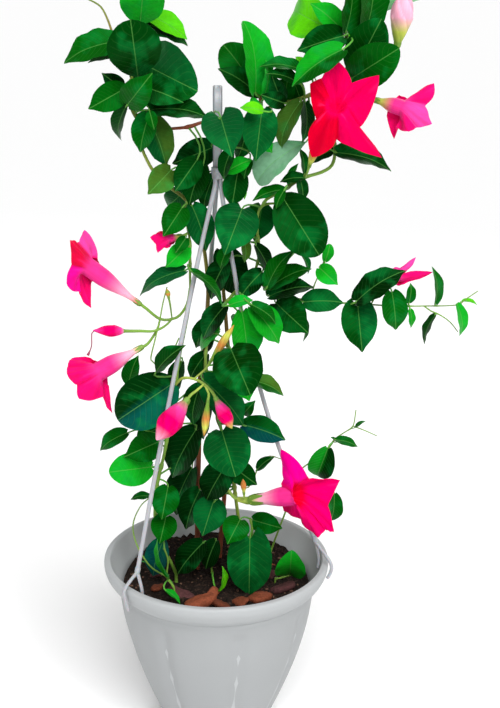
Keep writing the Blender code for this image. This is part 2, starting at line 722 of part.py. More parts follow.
def leaf_solid(blade, joint, thickness, stalk):
    """A leaf: a three-sided stalk from its joint, and a thin slab that a large leaf folds at its midrib."""
    axis = blade.tip - blade.base
    side = unit(np.cross(axis, blade.face))
    across_blade = (-1, 0, 1) if blade.width > FOLDED_WIDTH else (-1, 1)
    columns = len(across_blade)
    leaving = unit(blade.base - joint)
    arriving = unit(leaving + unit(axis))
    across = unit(side - arriving * side.dot(arriving))
    up = np.cross(across, arriving)
    triangle = [(across * x + up * y) * stalk for x, y in STALK_CORNERS]
    bend = Vector(arriving).rotation_difference(Vector(leaving))
    points = [joint + STALK_TAPER * np.array(bend @ Vector(corner)) for corner in triangle]
    points += [blade.base + corner for corner in triangle]
    lift = blade.face * thickness / 2
    rings = [[3] * columns + [4] * (columns - 1) + [5]]
    for s in BLADE_ROWS:
        row = [blade_point(blade, s, q) for q in across_blade]
        rings.append(list(range(len(points), len(points) + 2 * columns)))
        points += [p + lift for p in row] + [p - lift for p in row[::-1]]
    rings.append([len(points)] * columns + [len(points) + 1] * columns)
    points += [blade.tip + lift, blade.tip - lift]
    faces = [(0, 1, 2)]
    for j in range(3):
        nxt = (j + 1) % 3
        faces += [(j, 3 + j, 3 + nxt), (j, 3 + nxt, nxt)]
    for lower, upper in zip(rings, rings[1:]):
        for j in range(2 * columns):
            nxt = (j + 1) % (2 * columns)
            a, b, c, d = lower[j], lower[nxt], upper[j], upper[nxt]
            split = ((a, c, d), (a, d, b)) if j < columns else ((a, c, b), (b, c, d))
            faces += [triangle for triangle in split if len(set(triangle)) == 3]
    return points, faces


def spindle(foot, tip, width):
    """A closed bud: slim at its foot, widest past the middle, drawn out to a point."""
    route = [foot + (tip - foot) * s for s in BUD_SHARES]
    return rod(route, [width / 2 * r for r in BUD_SWELL], BUD_SIDES)


def tube_radius(bloom, share):
    """A corolla tube's radius in metres: a neck at its foot, then a bell that opens to the mouth."""
    rise = min(1.0, max(0.0, (share - BELL_START) / BELL_RUN))
    opened = rise * rise * (3 - 2 * rise) * BELL_SHARE + (1 - BELL_SHARE) * share
    return (bloom.neck + (bloom.throat - bloom.neck) * opened) * MM


def lobe_edge(bloom, steps):
    """The corolla's edge: out from each notch to the lobe's tip and back, each side with its own swell."""
    mouth = sight(*bloom.mouth)
    depth = bloom.mouth[2]
    tips = [sight(u, v, depth + behind) for (u, v, behind), _, _ in bloom.lobes]
    notches = []
    for k, lobe in enumerate(bloom.lobes):
        following = bloom.lobes[(k + 1) % len(bloom.lobes)]
        notches.append(sight(*lobe.notch, depth + NOTCH_LAG * (lobe.tip[2] + following.tip[2])))
    edge = []
    for k, lobe in enumerate(bloom.lobes):
        sides = ((notches[k - 1], tips[k], lobe.swell[0]), (tips[k], notches[k], lobe.swell[1]))
        for start, end, swell in sides:
            run = end - start
            middle = (start + end) / 2 - mouth
            outward = unit(middle - run * middle.dot(run) / run.dot(run)) * np.linalg.norm(run)
            for j in range(steps):
                t = j / steps
                edge.append(start + run * t + outward * swell * 4 * t * (1 - t))
    return np.array(edge)


def spokes(edge, middle, axis):
    """Even directions square to the axis, as many as the edge has points, turned to follow it round."""
    first = unit(np.cross(axis, UPWARD))
    second = np.cross(axis, first)
    seen = np.arctan2((edge - middle) @ second, (edge - middle) @ first)
    way = np.sign(np.sin(np.roll(seen, -1) - seen).sum())
    even = way * math.tau * np.arange(len(edge)) / len(edge)
    even += np.angle(np.exp(1j * (seen - even)).sum())
    return np.outer(np.cos(even), first) + np.outer(np.sin(even), second)


def corolla_surface(bloom, steps, tube_shares, limb_shares):
    """A corolla as a grid of points, up its tube and out over its lobes, and the grid's inward normals."""
    foot, mouth = sight(*bloom.foot), sight(*bloom.mouth)
    axis = unit(mouth - foot)
    throat = bloom.throat * MM
    edge = lobe_edge(bloom, steps)
    radial = spokes(edge, mouth, axis)
    rows = [foot + (mouth - foot) * share + radial * tube_radius(bloom, share) for share in tube_shares]
    start = rows[-1]
    bend = start + axis * throat * LIMB_RISE + radial * throat * LIMB_FLARE
    rows += [start * (1 - g) ** 2 + bend * 2 * g * (1 - g) + edge * g * g for g in limb_shares]
    grid = np.array(rows)
    around = np.roll(grid, -1, axis=1) - np.roll(grid, 1, axis=1)
    normals = np.cross(around, np.gradient(grid, axis=0))
    normals /= np.linalg.norm(normals, axis=2)[:, :, None]
    if (normals[0] * radial).sum() > 0:
        normals = -normals
    return grid, normals


def corolla_solid(bloom):
    """The corolla as one thin closed shell: a solid neck, a hollow bell and five lobes."""
    steps = 2 if bloom.throat > SMALL_THROAT else 1
    grid, normals = corolla_surface(bloom, steps, TUBE_SHARES, LIMB_SHARES)
    inner = grid[2:] + normals[2:] * PETAL_THICKNESS
    rings = [*grid, *inner[::-1]]
    foot, mouth = sight(*bloom.foot), sight(*bloom.mouth)
    count = len(grid[0])
    points = [tuple(p) for ring in rings for p in ring]
    faces = []
    for k in range(len(rings) - 1):
        low = k * count
        for j in range(count):
            nxt = (j + 1) % count
            a, b, c, d = low + j, low + nxt, low + count + nxt, low + count + j
            faces += [(a, b, c), (a, c, d)] if k < len(grid) else [(a, b, d), (b, c, d)]
    points.append(tuple(foot))
    points.append(tuple(foot + (mouth - foot) * THROAT_FLOOR))
    for j in range(count):
        nxt = (j + 1) % count
        faces.append((nxt, j, len(points) - 2))
        faces.append(((len(rings) - 1) * count + j, (len(rings) - 1) * count + nxt, len(points) - 1))
    return points, faces


# Blender objects
def material(name, colour, roughness, metallic=0.0):
    """A Principled material of one colour."""
    made = bpy.data.materials.new(name)
    made.use_nodes = True
    shader = made.node_tree.nodes["Principled BSDF"]
    shader.inputs["Base Color"].default_value = (*colour, 1.0)
    shader.inputs["Roughness"].default_value = roughness
    shader.inputs["Metallic"].default_value = metallic
    return made


def mesh_object(name, solid, collection):
    """An object from points and faces, all faces turned outward."""
    points, faces = solid
    mesh = bpy.data.meshes.new(name)
    mesh.from_pydata([tuple(p) for p in points], [], faces)
    shell = bmesh.new()
    shell.from_mesh(mesh)
    bmesh.ops.recalc_face_normals(shell, faces=shell.faces)
    shell.to_mesh(mesh)
    shell.free()
    made = bpy.data.objects.new(name, mesh)
    collection.objects.link(made)
    return made


def applied(source):
    """Replace an object, curve or mesh, by the plain welded mesh that it evaluates to."""
    graph = bpy.context.evaluated_depsgraph_get()
    mesh = bpy.data.meshes.new_from_object(source.evaluated_get(graph))
    shell = bmesh.new()
    shell.from_mesh(mesh)
    bmesh.ops.remove_doubles(shell, verts=shell.verts, dist=1e-6)
    shell.to_mesh(mesh)
    shell.free()
    made = bpy.data.objects.new(source.name, mesh)
    made.matrix_world = source.matrix_world
    source.users_collection[0].objects.link(made)
    name = source.name
    bpy.data.objects.remove(source)
    made.name = name
    return made


def combined(base, others, operation, solver="EXACT"):
    """Apply one Boolean with a collection of objects, which are then removed."""
    tools = bpy.data.collections.new("Tools")
    bpy.context.scene.collection.children.link(tools)
    for tool in others:
        tool.users_collection[0].objects.unlink(tool)
        tools.objects.link(tool)
    cut = base.modifiers.new("Combine", "BOOLEAN")
    cut.operation = operation
    cut.operand_type = "COLLECTION"
    cut.collection = tools
    cut.solver = solver
    made = applied(base)
    for tool in list(tools.objects):
        bpy.data.objects.remove(tool)
    bpy.data.collections.remove(tools)
    return made


def keep_largest_body(target):
    """Weld the slivers that a Boolean leaves and keep the largest shell: no loose scrap, no sealed hollow."""
    for reach in (SLIVER, SLIVER / 3, SLIVER / 10):
        shell = bmesh.new()
        shell.from_mesh(target.data)
        bmesh.ops.remove_doubles(shell, verts=shell.verts, dist=reach)
        bmesh.ops.triangulate(shell, faces=shell.faces)
        seen = {}
        for face in shell.faces:
            seen.setdefault(frozenset(face.verts), []).append(face)
        folded = [face for faces in seen.values() if len(faces) > 1 for face in faces]
        bmesh.ops.delete(shell, geom=folded, context="FACES")
        if all(len(edge.link_faces) == 2 for edge in shell.edges):
            break
        shell.free()
    else:
        raise RuntimeError(f"{target.name} isn't closed after its union")
    unseen = set(shell.faces)
    bodies = []
    while unseen:
        body, front = [], [unseen.pop()]
        while front:
            face = front.pop()
            body.append(face)
            for edge in face.edges:
                for other in edge.link_faces:
                    if other in unseen:
                        unseen.remove(other)
                        front.append(other)
        bodies.append(body)
    bodies.sort(key=len)
    for scrap in bodies[:-1]:
        bmesh.ops.delete(shell, geom=scrap, context="FACES")
    shell.to_mesh(target.data)
    shell.free()


def finish(target, made_of):
    """Give the object its material and shade it smooth where it is round."""
    target.data.materials.clear()
    target.data.materials.append(made_of)
    target.data.shade_smooth()
    target.data.set_sharp_from_angle(angle=math.radians(35))


def turned(name, profile, collection, steps=POT_STEPS):
    """A closed profile of (radius, z) points, from the axis round to the axis, turned by a Screw modifier."""
    mesh = bpy.data.meshes.new(name)
    points = [(r * math.cos(FIRST_GROOVE), r * math.sin(FIRST_GROOVE), z) for r, z in profile]
    mesh.from_pydata(points, [(k, k + 1) for k in range(len(points) - 1)], [])
    made = bpy.data.objects.new(name, mesh)
    collection.objects.link(made)
    screw = made.modifiers.new("Turn", "SCREW")
    screw.steps = screw.render_steps = steps
    screw.use_merge_vertices = True
    screw.merge_threshold = 0.00001
    return applied(made)


def round_bar(name, points, radius, collection, resolution=2):
    """A round plastic bar through the given points."""
    curve = bpy.data.curves.new(name, "CURVE")
    curve.dimensions = "3D"
    curve.bevel_depth = radius
    curve.bevel_resolution = resolution
    curve.use_fill_caps = True
    spline = curve.splines.new("POLY")
    spline.points.add(len(points) - 1)
    for place, point in zip(spline.points, points):
        place.co = (*point, 1.0)
    made = bpy.data.objects.new(name, curve)
    collection.objects.link(made)
    return applied(made)


# Pot and potting mix
def pot_profiles():
    """The pot's outer and inner outlines as (radius, z), rim first."""
    outer = [(r, RIM_Z - down) for r, down in OUTER_PROFILE]
    inner = [(r, RIM_Z - down) for r, down in INNER_LIP]
    inner += [(r - WALL, z) for r, z in outer[7:11]]
    inner.append((BASE_RADIUS - WALL - 0.001, FLOOR))
    return outer, inner


def make_pot(collection):
    """The pot: one turned wall, with shallow grooves that part its body into upright panels."""
    outer, inner = pot_profiles()
    profile = [(0.0, FLOOR)] + inner[::-1] + outer + [(0.0, 0.0)]
    pot = turned("pot", profile, collection)
    spacing = math.tau / PANELS
    for vert in pot.data.vertices:
        radius = math.hypot(vert.co.x, vert.co.y)
        wall_radius = np.interp(vert.co.z, [z for _, z in outer[::-1]], [r for r, _ in outer[::-1]])
        turn = (math.atan2(vert.co.y, vert.co.x) - FIRST_GROOVE) % spacing
        on_groove = min(turn, spacing - turn) < GROOVE_HALF_TURN
        if on_groove and GROOVE_FOOT_Z < vert.co.z < BAND_FOOT_Z and abs(radius - wall_radius) < ON_WALL:
            vert.co.x *= 1 - PANEL_GROOVE / radius
            vert.co.y *= 1 - PANEL_GROOVE / radius
    finish(pot, material("pot_plastic", (0.62, 0.64, 0.66), 0.42))
    return pot


def soil_height(x, y):
    """The mix's uneven surface: low waves over a shallow dish."""
    wave = math.sin(95 * x + 1.3) * math.cos(80 * y) + 0.7 * math.sin(10200 * x * y + 140 * y)
    return SOIL_Z + SOIL_ROUGHNESS * wave + 0.006 * (math.hypot(x, y) / 0.1) ** 4


def chip_places():
    """Bark and clay chips: (x, y, size, turn), the ones in front by hand and the rest by a seeded rule."""
    chips = list(FRONT_CHIPS)
    draw = random.Random(11)
    while len(chips) < CHIP_COUNT:
        angle, reach = draw.uniform(0, math.tau), draw.uniform(*CHIP_REACH)
        x, y = reach * math.cos(angle), reach * math.sin(angle)
        if all(math.hypot(x - c[0], y - c[1]) > CHIP_SPACING for c in chips):
            chips.append((x, y, draw.uniform(*CHIP_SIZE), draw.uniform(0, math.pi)))
    return chips


def chip_solid(x, y, size, turn):
    """A flat, five-sided chip with bevelled sides, a third of it in the mix."""
    draw = random.Random(round(1e6 * (x + 7 * y)))
    reach = [size * draw.uniform(0.75, 1.15) for _ in range(CHIP_CORNERS)]
    rings = []
    for share, z in ((1.0, SOIL_Z - CHIP_SUNK), (CHIP_TOP, SOIL_Z + size * CHIP_HEIGHT)):
        ring = []
        for k in range(CHIP_CORNERS):
            angle = math.tau * k / CHIP_CORNERS
            along = share * reach[k] * math.cos(angle)
            across = CHIP_BREADTH * share * reach[k] * math.sin(angle)
            ring.append(np.array((x + along * math.cos(turn) - across * math.sin(turn),
                                  y + along * math.sin(turn) + across * math.cos(turn),
                                  z + CHIP_TILT * along)))
        rings.append(ring)
    return loft(rings)


def make_soil(collection, roots):
    """The mix: it fills the pot a hair's breadth inside its wall, and has a plain hole for each stem."""
    _, inner = pot_profiles()
    wall = [(r - GAP, z) for r, z in inner if FLOOR < z < SOIL_Z - 0.004]
    rim = np.interp(SOIL_Z, [z for _, z in inner[::-1]], [r for r, _ in inner[::-1]]) - 2 * GAP
    profile = [(r, SOIL_Z) for r in (*SOIL_RINGS, rim)]
    profile += wall + [(BASE_RADIUS - WALL - 0.002, FLOOR + GAP), (0.0, FLOOR + GAP)]
    soil = turned("potting_mix", profile, collection)
    for vert in soil.data.vertices:
        if vert.co.z > SOIL_Z - 0.001:
            inside = math.hypot(vert.co.x, vert.co.y) < rim - 0.002
            vert.co.z = soil_height(vert.co.x, vert.co.y) if inside else SOIL_Z + SOIL_EDGE_LIFT
    chips = [mesh_object("chip", chip_solid(*place), collection) for place in chip_places()]
    soil = combined(soil, chips, "UNION")
    holes = []
    for x, y, radius in roots:
        bpy.ops.mesh.primitive_cylinder_add(
            vertices=HOLE_SIDES, radius=radius / math.cos(math.pi / HOLE_SIDES) + 2 * GAP, depth=HOLE_LENGTH,
            location=(x, y, SOIL_Z - HOLE_DEPTH - GAP + HOLE_LENGTH / 2))
        hole = bpy.context.object
        hole.users_collection[0].objects.unlink(hole)
        collection.objects.link(hole)
        holes.append(hole)
    soil = combined(soil, holes, "DIFFERENCE")
    keep_largest_body(soil)
    finish(soil, material("potting_mix", (0.055, 0.033, 0.022), 0.95))
    return soil


# Hanger
def hook_outline():
    """The hook's side view as (y, z): up the shank, round the bend and back down to its end."""
    inner, outer = HOOK_INNER_RADIUS, HOOK_INNER_RADIUS + STRAP_THICKNESS
    centre_y, centre_z = inner + STRAP_THICKNESS / 2, HOOK_TOP_Z - outer
    angles = [math.pi + (HOOK_END - math.pi) * k / HOOK_STEPS for k in range(HOOK_STEPS + 1)]
    outline = [(-STRAP_THICKNESS / 2, HUB_Z)]
    outline += [(centre_y + outer * math.cos(a), centre_z + outer * math.sin(a)) for a in angles]
    outline += [(centre_y + inner * math.cos(a), centre_z + inner * math.sin(a)) for a in angles[::-1]]
    outline.append((STRAP_THICKNESS / 2, HUB_Z))
    return outline


def make_hook(collection, plastic):
    """The flat hook strap with the round hub that the arms leave from."""
    curve = bpy.data.curves.new("hanger_hook", "CURVE")
    curve.dimensions = "2D"
    curve.fill_mode = "BOTH"
    curve.extrude = STRAP_WIDTH / 2
    outline = hook_outline()
    spline = curve.splines.new("POLY")
    spline.points.add(len(outline) - 1)
    for place, (y, z) in zip(spline.points, outline):
        place.co = (y, z, 0.0, 1.0)
    spline.use_cyclic_u = True
    hook = bpy.data.objects.new("hanger_hook", curve)
    hook.rotation_euler = (math.pi / 2, 0.0, math.pi / 2)
    hook.location.x = HUB_X
    collection.objects.link(hook)
    bpy.context.view_layer.update()
    hook = applied(hook)
    bpy.ops.mesh.primitive_cone_add(vertices=HUB_SIDES, radius1=HUB_FOOT_RADIUS, radius2=HUB_TOP_RADIUS,
                                    depth=HUB_HEIGHT, location=(HUB_X, 0.0, HUB_Z + HUB_LIFT))
    hub = bpy.context.object
    hub.users_collection[0].objects.unlink(hub)
    collection.objects.link(hub)
    hook = combined(hook, [hub], "UNION")
    finish(hook, plastic)
    return hook


def make_arm(name, clip, collection, plastic):
    """One arm: a slim bowed bar from the hub to the rim, and a fork that straddles the rim."""
    angle = math.radians(clip.azimuth)
    out = np.array((math.cos(angle), math.sin(angle), 0.0))
    along = np.array((-math.sin(angle), math.cos(angle), 0.0))
    up = np.array((0.0, 0.0, 1.0))
    top = np.array((HUB_X, 0.0, 0.0)) + out * ARM_SPREAD + up * (HUB_Z - ARM_DROP - GAP)
    fork = out * clip.radius + up * (RIM_Z + clip.height)
    run = fork - top
    bow = unit(np.cross(run, along))
    bow = bow if bow.dot(out) > 0 else -bow
    points = [top + run * t + bow * clip.bow * math.sin(math.pi * t) for t in np.linspace(0, 1, ARM_STEPS)]
    points.insert(1, top - up * 2 * ARM_RADIUS)
    arm = round_bar(name, points, ARM_RADIUS, collection, 1)
    reach = RIM_RADIUS + GAP + ARM_RADIUS
    outer_leg = [fork] + [out * (reach + o) - along * a + up * (RIM_Z + z) for o, a, z in OUTER_LEG]
    inward, aside = OUTER_LEG_TIP
    inward *= clip.leg / LONGEST_LEG
    outer_leg.append(out * (reach - inward) - along * aside + up * (RIM_Z - clip.leg))
    inner_leg = [fork] + [out * o + along * a + up * (RIM_Z + z) for o, a, z in INNER_LEG]
    legs = [round_bar(name + "_outer_leg", outer_leg, LEG_RADIUS, collection, 1),
            round_bar(name + "_inner_leg", inner_leg, LEG_RADIUS, collection, 1)]
    arm = combined(arm, legs, "UNION")
    keep_largest_body(arm)
    finish(arm, plastic)
    return arm


# Plant layout
def under_flower(points):
    """The stem's points, its end led squarely up to the foot of the flower that it carries, if any."""
    for flower in (*BLOOMS.values(), *BUDS.values()):
        foot, head = sight(*flower.foot), sight(*(flower.mouth if isinstance(flower, Bloom) else flower.tip))
        if np.linalg.norm(points[-1] - foot) < FLOWER_REACH:
            axis = unit(head - foot)
            reach = min(FLOWER_REACH, 0.4 * np.linalg.norm(points[0] - foot))
            led = points[:1] + [p for p in points[1:-1] if np.linalg.norm(p - foot) > 2 * reach]
            return led + [foot - axis * reach, foot - axis * FLOWER_GAP]
    return points


def nearest_on(routes, point):
    """The nearest point on the middle lines of some stems, and the stem's radius and direction there."""
    found = []
    for route, radii in routes:
        run = route[1:] - route[:-1]
        share = np.clip(((point - route[:-1]) * run).sum(axis=1) / (run * run).sum(axis=1), 0.0, 1.0)
        share[-1] = min(share[-1], 1 - radii[-1] / np.linalg.norm(run[-1]))
        near = route[:-1] + run * share[:, None]
        k = int(np.linalg.norm(near - point, axis=1).argmin())
        found.append((near[k], max(radii[k], radii[k + 1]), unit(run[k])))
    return min(found, key=lambda place: np.linalg.norm(place[0] - point))


def stem_routes(shoot, step):
    """Each stem of a shoot as a smooth route with its radii; the main one goes down into its hole."""
    routes = []
    for k, stem in enumerate(shoot.stems):
        points = under_flower([sight(*place) for place in stem.places])
        if k > 0:
            joint, thick, _ = nearest_on(routes, points[0])
            points[0] = joint + unit(joint - points[1]) * thick * SUNK
        if k == 0 and shoot.root:
            x, y = shoot.root
            points = [np.array((x, y, SOIL_Z - HOLE_DEPTH)), np.array((x, y, SOIL_Z + 0.010))] + points
        route = smooth_route(points, step)
        if k == 0 and shoot.root:
            in_hole = route[:, 2] < SOIL_Z + 0.0101
            route[in_hole, :2] = shoot.root
        radii = np.linspace(stem.thick, stem.thin, len(route)) * MM
        routes.append((route, radii))
    return routes


def seated(route, radii, carriers):
    """A side shoot's route that starts a hair's breadth off the stem that it grows from."""
    joint, _, along = nearest_on(carriers, route[0])
    solids = [obstacle("carrier", rod(route_of, radii_of + GAP, 4)) for route_of, radii_of in carriers]
    beyond = [point for point in route if np.linalg.norm(point - joint) > SHOOT_REACH]
    leaving = beyond[0] - joint
    out = unit(leaving - along * leaving.dot(along))
    radii = radii[-len(beyond) - 1:]
    for clear in np.arange(radii[0], SHOOT_REACH, GAP):
        trial = np.array([joint + out * clear] + beyond)
        if not crosses(obstacle("shoot", rod(trial, radii, 4)), solids):
            return trial, radii
    raise RuntimeError("a side shoot finds no seat on its stem")


def lie_of(leaf):
    """A leaf on the pane as a blade in space.

    A leaf that looks too broad for its length leans towards the eye, or away from it behind the
    plant's middle. One that looks too narrow is turned about its midrib, its face upward.
    """
    base, tip = sight(*leaf.base, leaf.depth), sight(*leaf.tip, leaf.depth)
    scale = np.linalg.norm(base - EYE) / PANE_DISTANCE * MM
    width = leaf.width * scale
    length = np.linalg.norm(tip - base)
    ratio = width / length
    turn = 0.0
    if ratio > USUAL_BREADTH:
        breadth = USUAL_BREADTH + BROAD_SHARE * (ratio - USUAL_BREADTH)
        lean = math.sqrt((ratio / breadth) ** 2 - 1) * length
        tip = pushed(tip, -lean if leaf.depth < MIDDLE_DEPTH else lean)
    else:
        breadth = ratio + NARROW_SHARE * (USUAL_BREADTH - ratio)
        turn = math.acos(ratio / breadth)
        width = breadth * length
    axis = unit(tip - base)
    to_eye = unit(EYE - base)
    face = unit(to_eye - axis * to_eye.dot(axis))
    side = np.cross(axis, face)
    faces = [face * math.cos(turn) + side * math.sin(turn), face * math.cos(turn) - side * math.sin(turn)]
    outward = np.array((OUTWARD_LOOK if leaf.base[0] > AXIS_U else -OUTWARD_LOOK, 0.0, 1.0))
    return Blade(base, tip, width, max(faces, key=lambda f: f.dot(outward)), leaf.form)


def partner_of(blade):
    """The other leaf of the pair: from the same joint back from the eye, nearly hidden by the first."""
    axis = blade.tip - blade.base
    length = np.linalg.norm(axis)
    away = unit(blade.base - EYE)
    base = pushed(blade.base + axis * PARTNER_FOOT, PARTNER_BACK)
    tip = base + axis * PARTNER_ALONG + away * length * PARTNER_AWAY
    along = unit(tip - base)
    look = np.array(PARTNER_FACE)
    face = unit(look - along * look.dot(along))
    return Blade(base, tip, PARTNER_WIDTH * blade.width, face, OVAL)


def nudges():
    """How a leaf may be moved to clear its neighbours, the least first: (push, lean) in metres."""
    pushes = [0] + [sign * PUSH_STEP * k for k in range(1, MOST_PUSHES + 1) for sign in (1, -1)]
    return sorted(((p, q) for p in pushes for q in LEANS), key=lambda n: abs(n[0]) + LEAN_COST * abs(n[1]))


NUDGES = nudges()


class Obstacle(NamedTuple):
    """A solid to keep clear of: its owner, its box and its search tree."""
    owner: str
    low: np.ndarray
    high: np.ndarray
    tree: BVHTree


def obstacle(owner, solid):
    """An obstacle from points and faces."""
    points, faces = solid
    array = np.array([tuple(p) for p in points])
    tree = BVHTree.FromPolygons([tuple(p) for p in array], [tuple(f) for f in faces])
    return Obstacle(owner, array.min(axis=0), array.max(axis=0), tree)


def crosses(one, others):
    """Whether an obstacle crosses any of the others."""
    return any((one.low < other.high).all() and (other.low < one.high).all() and one.tree.overlap(other.tree)
               for other in others)


def settle(name, blade, routes, placed):
    """Find the blade's least nudge that clears all that is placed, and its joint on the stem."""
    for push, lean in NUDGES:
        base, tip = pushed(blade.base, push), pushed(blade.tip, push + lean)
        axis = unit(tip - base)
        moved = blade._replace(base=base, tip=tip, face=unit(blade.face - axis * blade.face.dot(axis)))
        joint, _, _ = nearest_on(routes, moved.base - axis * PETIOLE_REACH)
        near_base = moved.base + unit(joint - moved.base) * PETIOLE_RADIUS
        body = obstacle(name + " blade", leaf_solid(moved, near_base, CLEAR_THICKNESS, PETIOLE_RADIUS + GAP))
        stalk = obstacle(name, rod([joint, moved.base], [PETIOLE_RADIUS + GAP] * 2, 3))
        if not crosses(body, placed) and not crosses(stalk, [o for o in placed if o.owner != name]):
            return moved, joint, (body, stalk)
    return None


def lay_out(fixed):
    """All leaves in their settled places: a list of (blade, joint) for each shoot. A leaf that finds no room
    is left out."""
    stems = {name: stem_routes(shoot, STEM_STEP) for name, shoot in SHOOTS.items()}
    placed = list(fixed)
    for name, routes in stems.items():
        for route, radii in routes:
            placed.append(obstacle(name, rod(route, radii + GAP, 5)))
    leaves = {name: [] for name in SHOOTS}
    for partners in (False, True):
        for name, shoot in SHOOTS.items():
            for leaf in shoot.leaves:
                if partners and not leaf.paired:
                    continue
                blade = partner_of(lie_of(leaf)) if partners else lie_of(leaf)
                found = settle(name, blade, stems[name], placed)
                if found:
                    blade, joint, bodies = found
                    leaves[name].append((blade, joint))
                    placed.extend(bodies)
    return leaves


def make_shoot(name, leaves, others, collection):
    """A leafy stem as one solid: its stems, and the leaves with their stalks sunk well in."""
    shoot = SHOOTS[name]
    routes = stem_routes(shoot, STEM_STEP)
    if not shoot.root:
        routes[0] = seated(*routes[0], others)
    bodies = [mesh_object(name, rod(*routes[0], 4), collection)]
    for k, (route, radii) in enumerate(routes[1:]):
        bodies.append(mesh_object(f"{name}_side_{k}", rod(route, radii, 4), collection))
    for k, (blade, joint) in enumerate(leaves):
        solid = leaf_solid(blade, joint, BLADE_THICKNESS, PETIOLE_RADIUS)
        bodies.append(mesh_object(f"{name}_leaf_{k}", solid, collection))
    made = bodies[0]
    if len(bodies) > 1:
        made = combined(bodies[0], bodies[1:], "UNION", "MANIFOLD")
    keep_largest_body(made)
    finish(made, material(name, shoot.colour, 0.45))


def make_flowers(collection):
    """Every bloom and bud as an object; gives the room that each takes."""
    petals = material("petals", PINK, 0.40)
    taken = []
    for name, bloom in BLOOMS.items():
        solid = corolla_solid(bloom)
        taken.append(obstacle(name, solid))
        finish(mesh_object(name, solid, collection), petals)
    for name, bud in BUDS.items():
        solid = spindle(sight(*bud.foot), sight(*bud.tip), bud.width * MM)
        taken.append(obstacle(name, solid))
        made = mesh_object(name, solid, collection)
        if bud.thread:
            route = smooth_route([sight(*place) for place in bud.thread], THREAD_STEP)
            solid = rod(route, [THREAD_RADIUS] * (len(route) - 1) + [THREAD_TIP_RADIUS], 4)
            taken.append(obstacle(name, solid))
            made = combined(made, [mesh_object("thread", solid, collection)], "UNION")
        finish(made, petals)
    return taken


def main():
    """Build the pot, the mix, the hanger and the plant."""
    for old in list(bpy.data.objects):
        bpy.data.objects.remove(old)
    parts = bpy.data.collections.new("Potted mandevilla")
    bpy.context.scene.collection.children.link(parts)
    make_pot(parts)
    roots = [(*shoot.root, shoot.stems[0].thick * MM) for shoot in SHOOTS.values() if shoot.root]
    make_soil(parts, roots)
    plastic = material("hanger_plastic", (0.74, 0.75, 0.77), 0.38)
    make_hook(parts, plastic)
    for place, clip in CLIPS.items():
        make_arm(f"hanger_arm_{place}", clip, parts, plastic)
    fixed = []
    for made in parts.objects:
        mesh = made.data
        points = [tuple(made.matrix_world @ vert.co) for vert in mesh.vertices]
        fixed.append(obstacle(made.name, (points, [tuple(face.vertices) for face in mesh.polygons])))
    fixed += make_flowers(parts)
    leaves = lay_out(fixed)
    carriers = [route for shoot in SHOOTS.values() if shoot.root for route in stem_routes(shoot, STEM_STEP)]
    for name in SHOOTS:
        make_shoot(name, leaves[name], carriers, parts)


main()
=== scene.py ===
"""Potted rosea mandevilla: the finished look of the plant, its pot and the pot's hanger.

Every leafy stem, bloom, bud, and each piece of the pot and hanger, is a surface of two parameters that
stands for the solid of the same name. The plant is laid out on a pane of glass that stands square to the
sight line: a place is where it is seen on the pane, in millimetres from the pane's left and top edges,
with its depth in millimetres behind the pot's axis.
"""
import math
import random
from typing import NamedTuple

import bpy
import numpy as np
from mathutils.bvhtree import BVHTree
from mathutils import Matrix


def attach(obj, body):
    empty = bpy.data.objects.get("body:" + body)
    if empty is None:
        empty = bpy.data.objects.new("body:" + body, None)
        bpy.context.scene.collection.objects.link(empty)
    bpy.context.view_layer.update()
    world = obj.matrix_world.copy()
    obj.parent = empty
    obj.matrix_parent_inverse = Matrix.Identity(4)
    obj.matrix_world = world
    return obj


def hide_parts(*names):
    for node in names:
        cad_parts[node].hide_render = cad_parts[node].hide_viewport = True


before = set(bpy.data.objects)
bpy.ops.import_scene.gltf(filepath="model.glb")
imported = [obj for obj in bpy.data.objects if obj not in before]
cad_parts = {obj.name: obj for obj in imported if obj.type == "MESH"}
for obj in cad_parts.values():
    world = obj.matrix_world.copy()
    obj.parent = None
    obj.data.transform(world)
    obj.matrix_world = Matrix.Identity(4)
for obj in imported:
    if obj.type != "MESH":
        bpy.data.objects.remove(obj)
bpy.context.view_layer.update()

bl_info = {
    "name": "Potted Mandevilla",
    "version": (1, 0, 0),
    "blender": (4, 5, 0),
    "location": "3D View > Sidebar > Mandevilla",
    "description": "Grows a climbing mandevilla with pink blooms in a hanging pot",
    "category": "Add Mesh",
}

MM = 0.001
GAP = 0.0003
WHITE = (1.0, 1.0, 1.0, 1.0)
NOWHERE = (0.0, 0.0, 0.0)

# Pot
RIM_Z = 0.200
BASE_RADIUS = 0.0584
RIM_RADIUS = 0.1245
WALL = 0.0026
FLOOR = 0.003
PANELS = 8
FIRST_GROOVE = math.radians(13.5)
GROOVE_WIDTH = 0.0070
PANEL_ROUNDING = 0.0010
BAND_FOOT = 0.166
POT_SIDES = 192
OUTER_PROFILE = (
    (0.1235, 0.0), (0.1245, 0.004), (0.1235, 0.011), (0.1190, 0.0195), (0.1125, 0.0255), (0.1090, 0.0280),
    (0.1088, 0.036), (0.1035, 0.072), (0.0945, 0.108), (0.0815, 0.146), (0.0668, 0.182), (0.0604, 0.196),
    (BASE_RADIUS, RIM_Z),
)
INNER_WALL = ((0.1042, 0.162), (0.1085, 0.175), (0.1155, 0.188), (0.1165, 0.197))
LIP = ((0.1175, RIM_Z - 0.0006), (0.1182, RIM_Z), (0.1208, RIM_Z), (0.1228, RIM_Z - 0.0002))

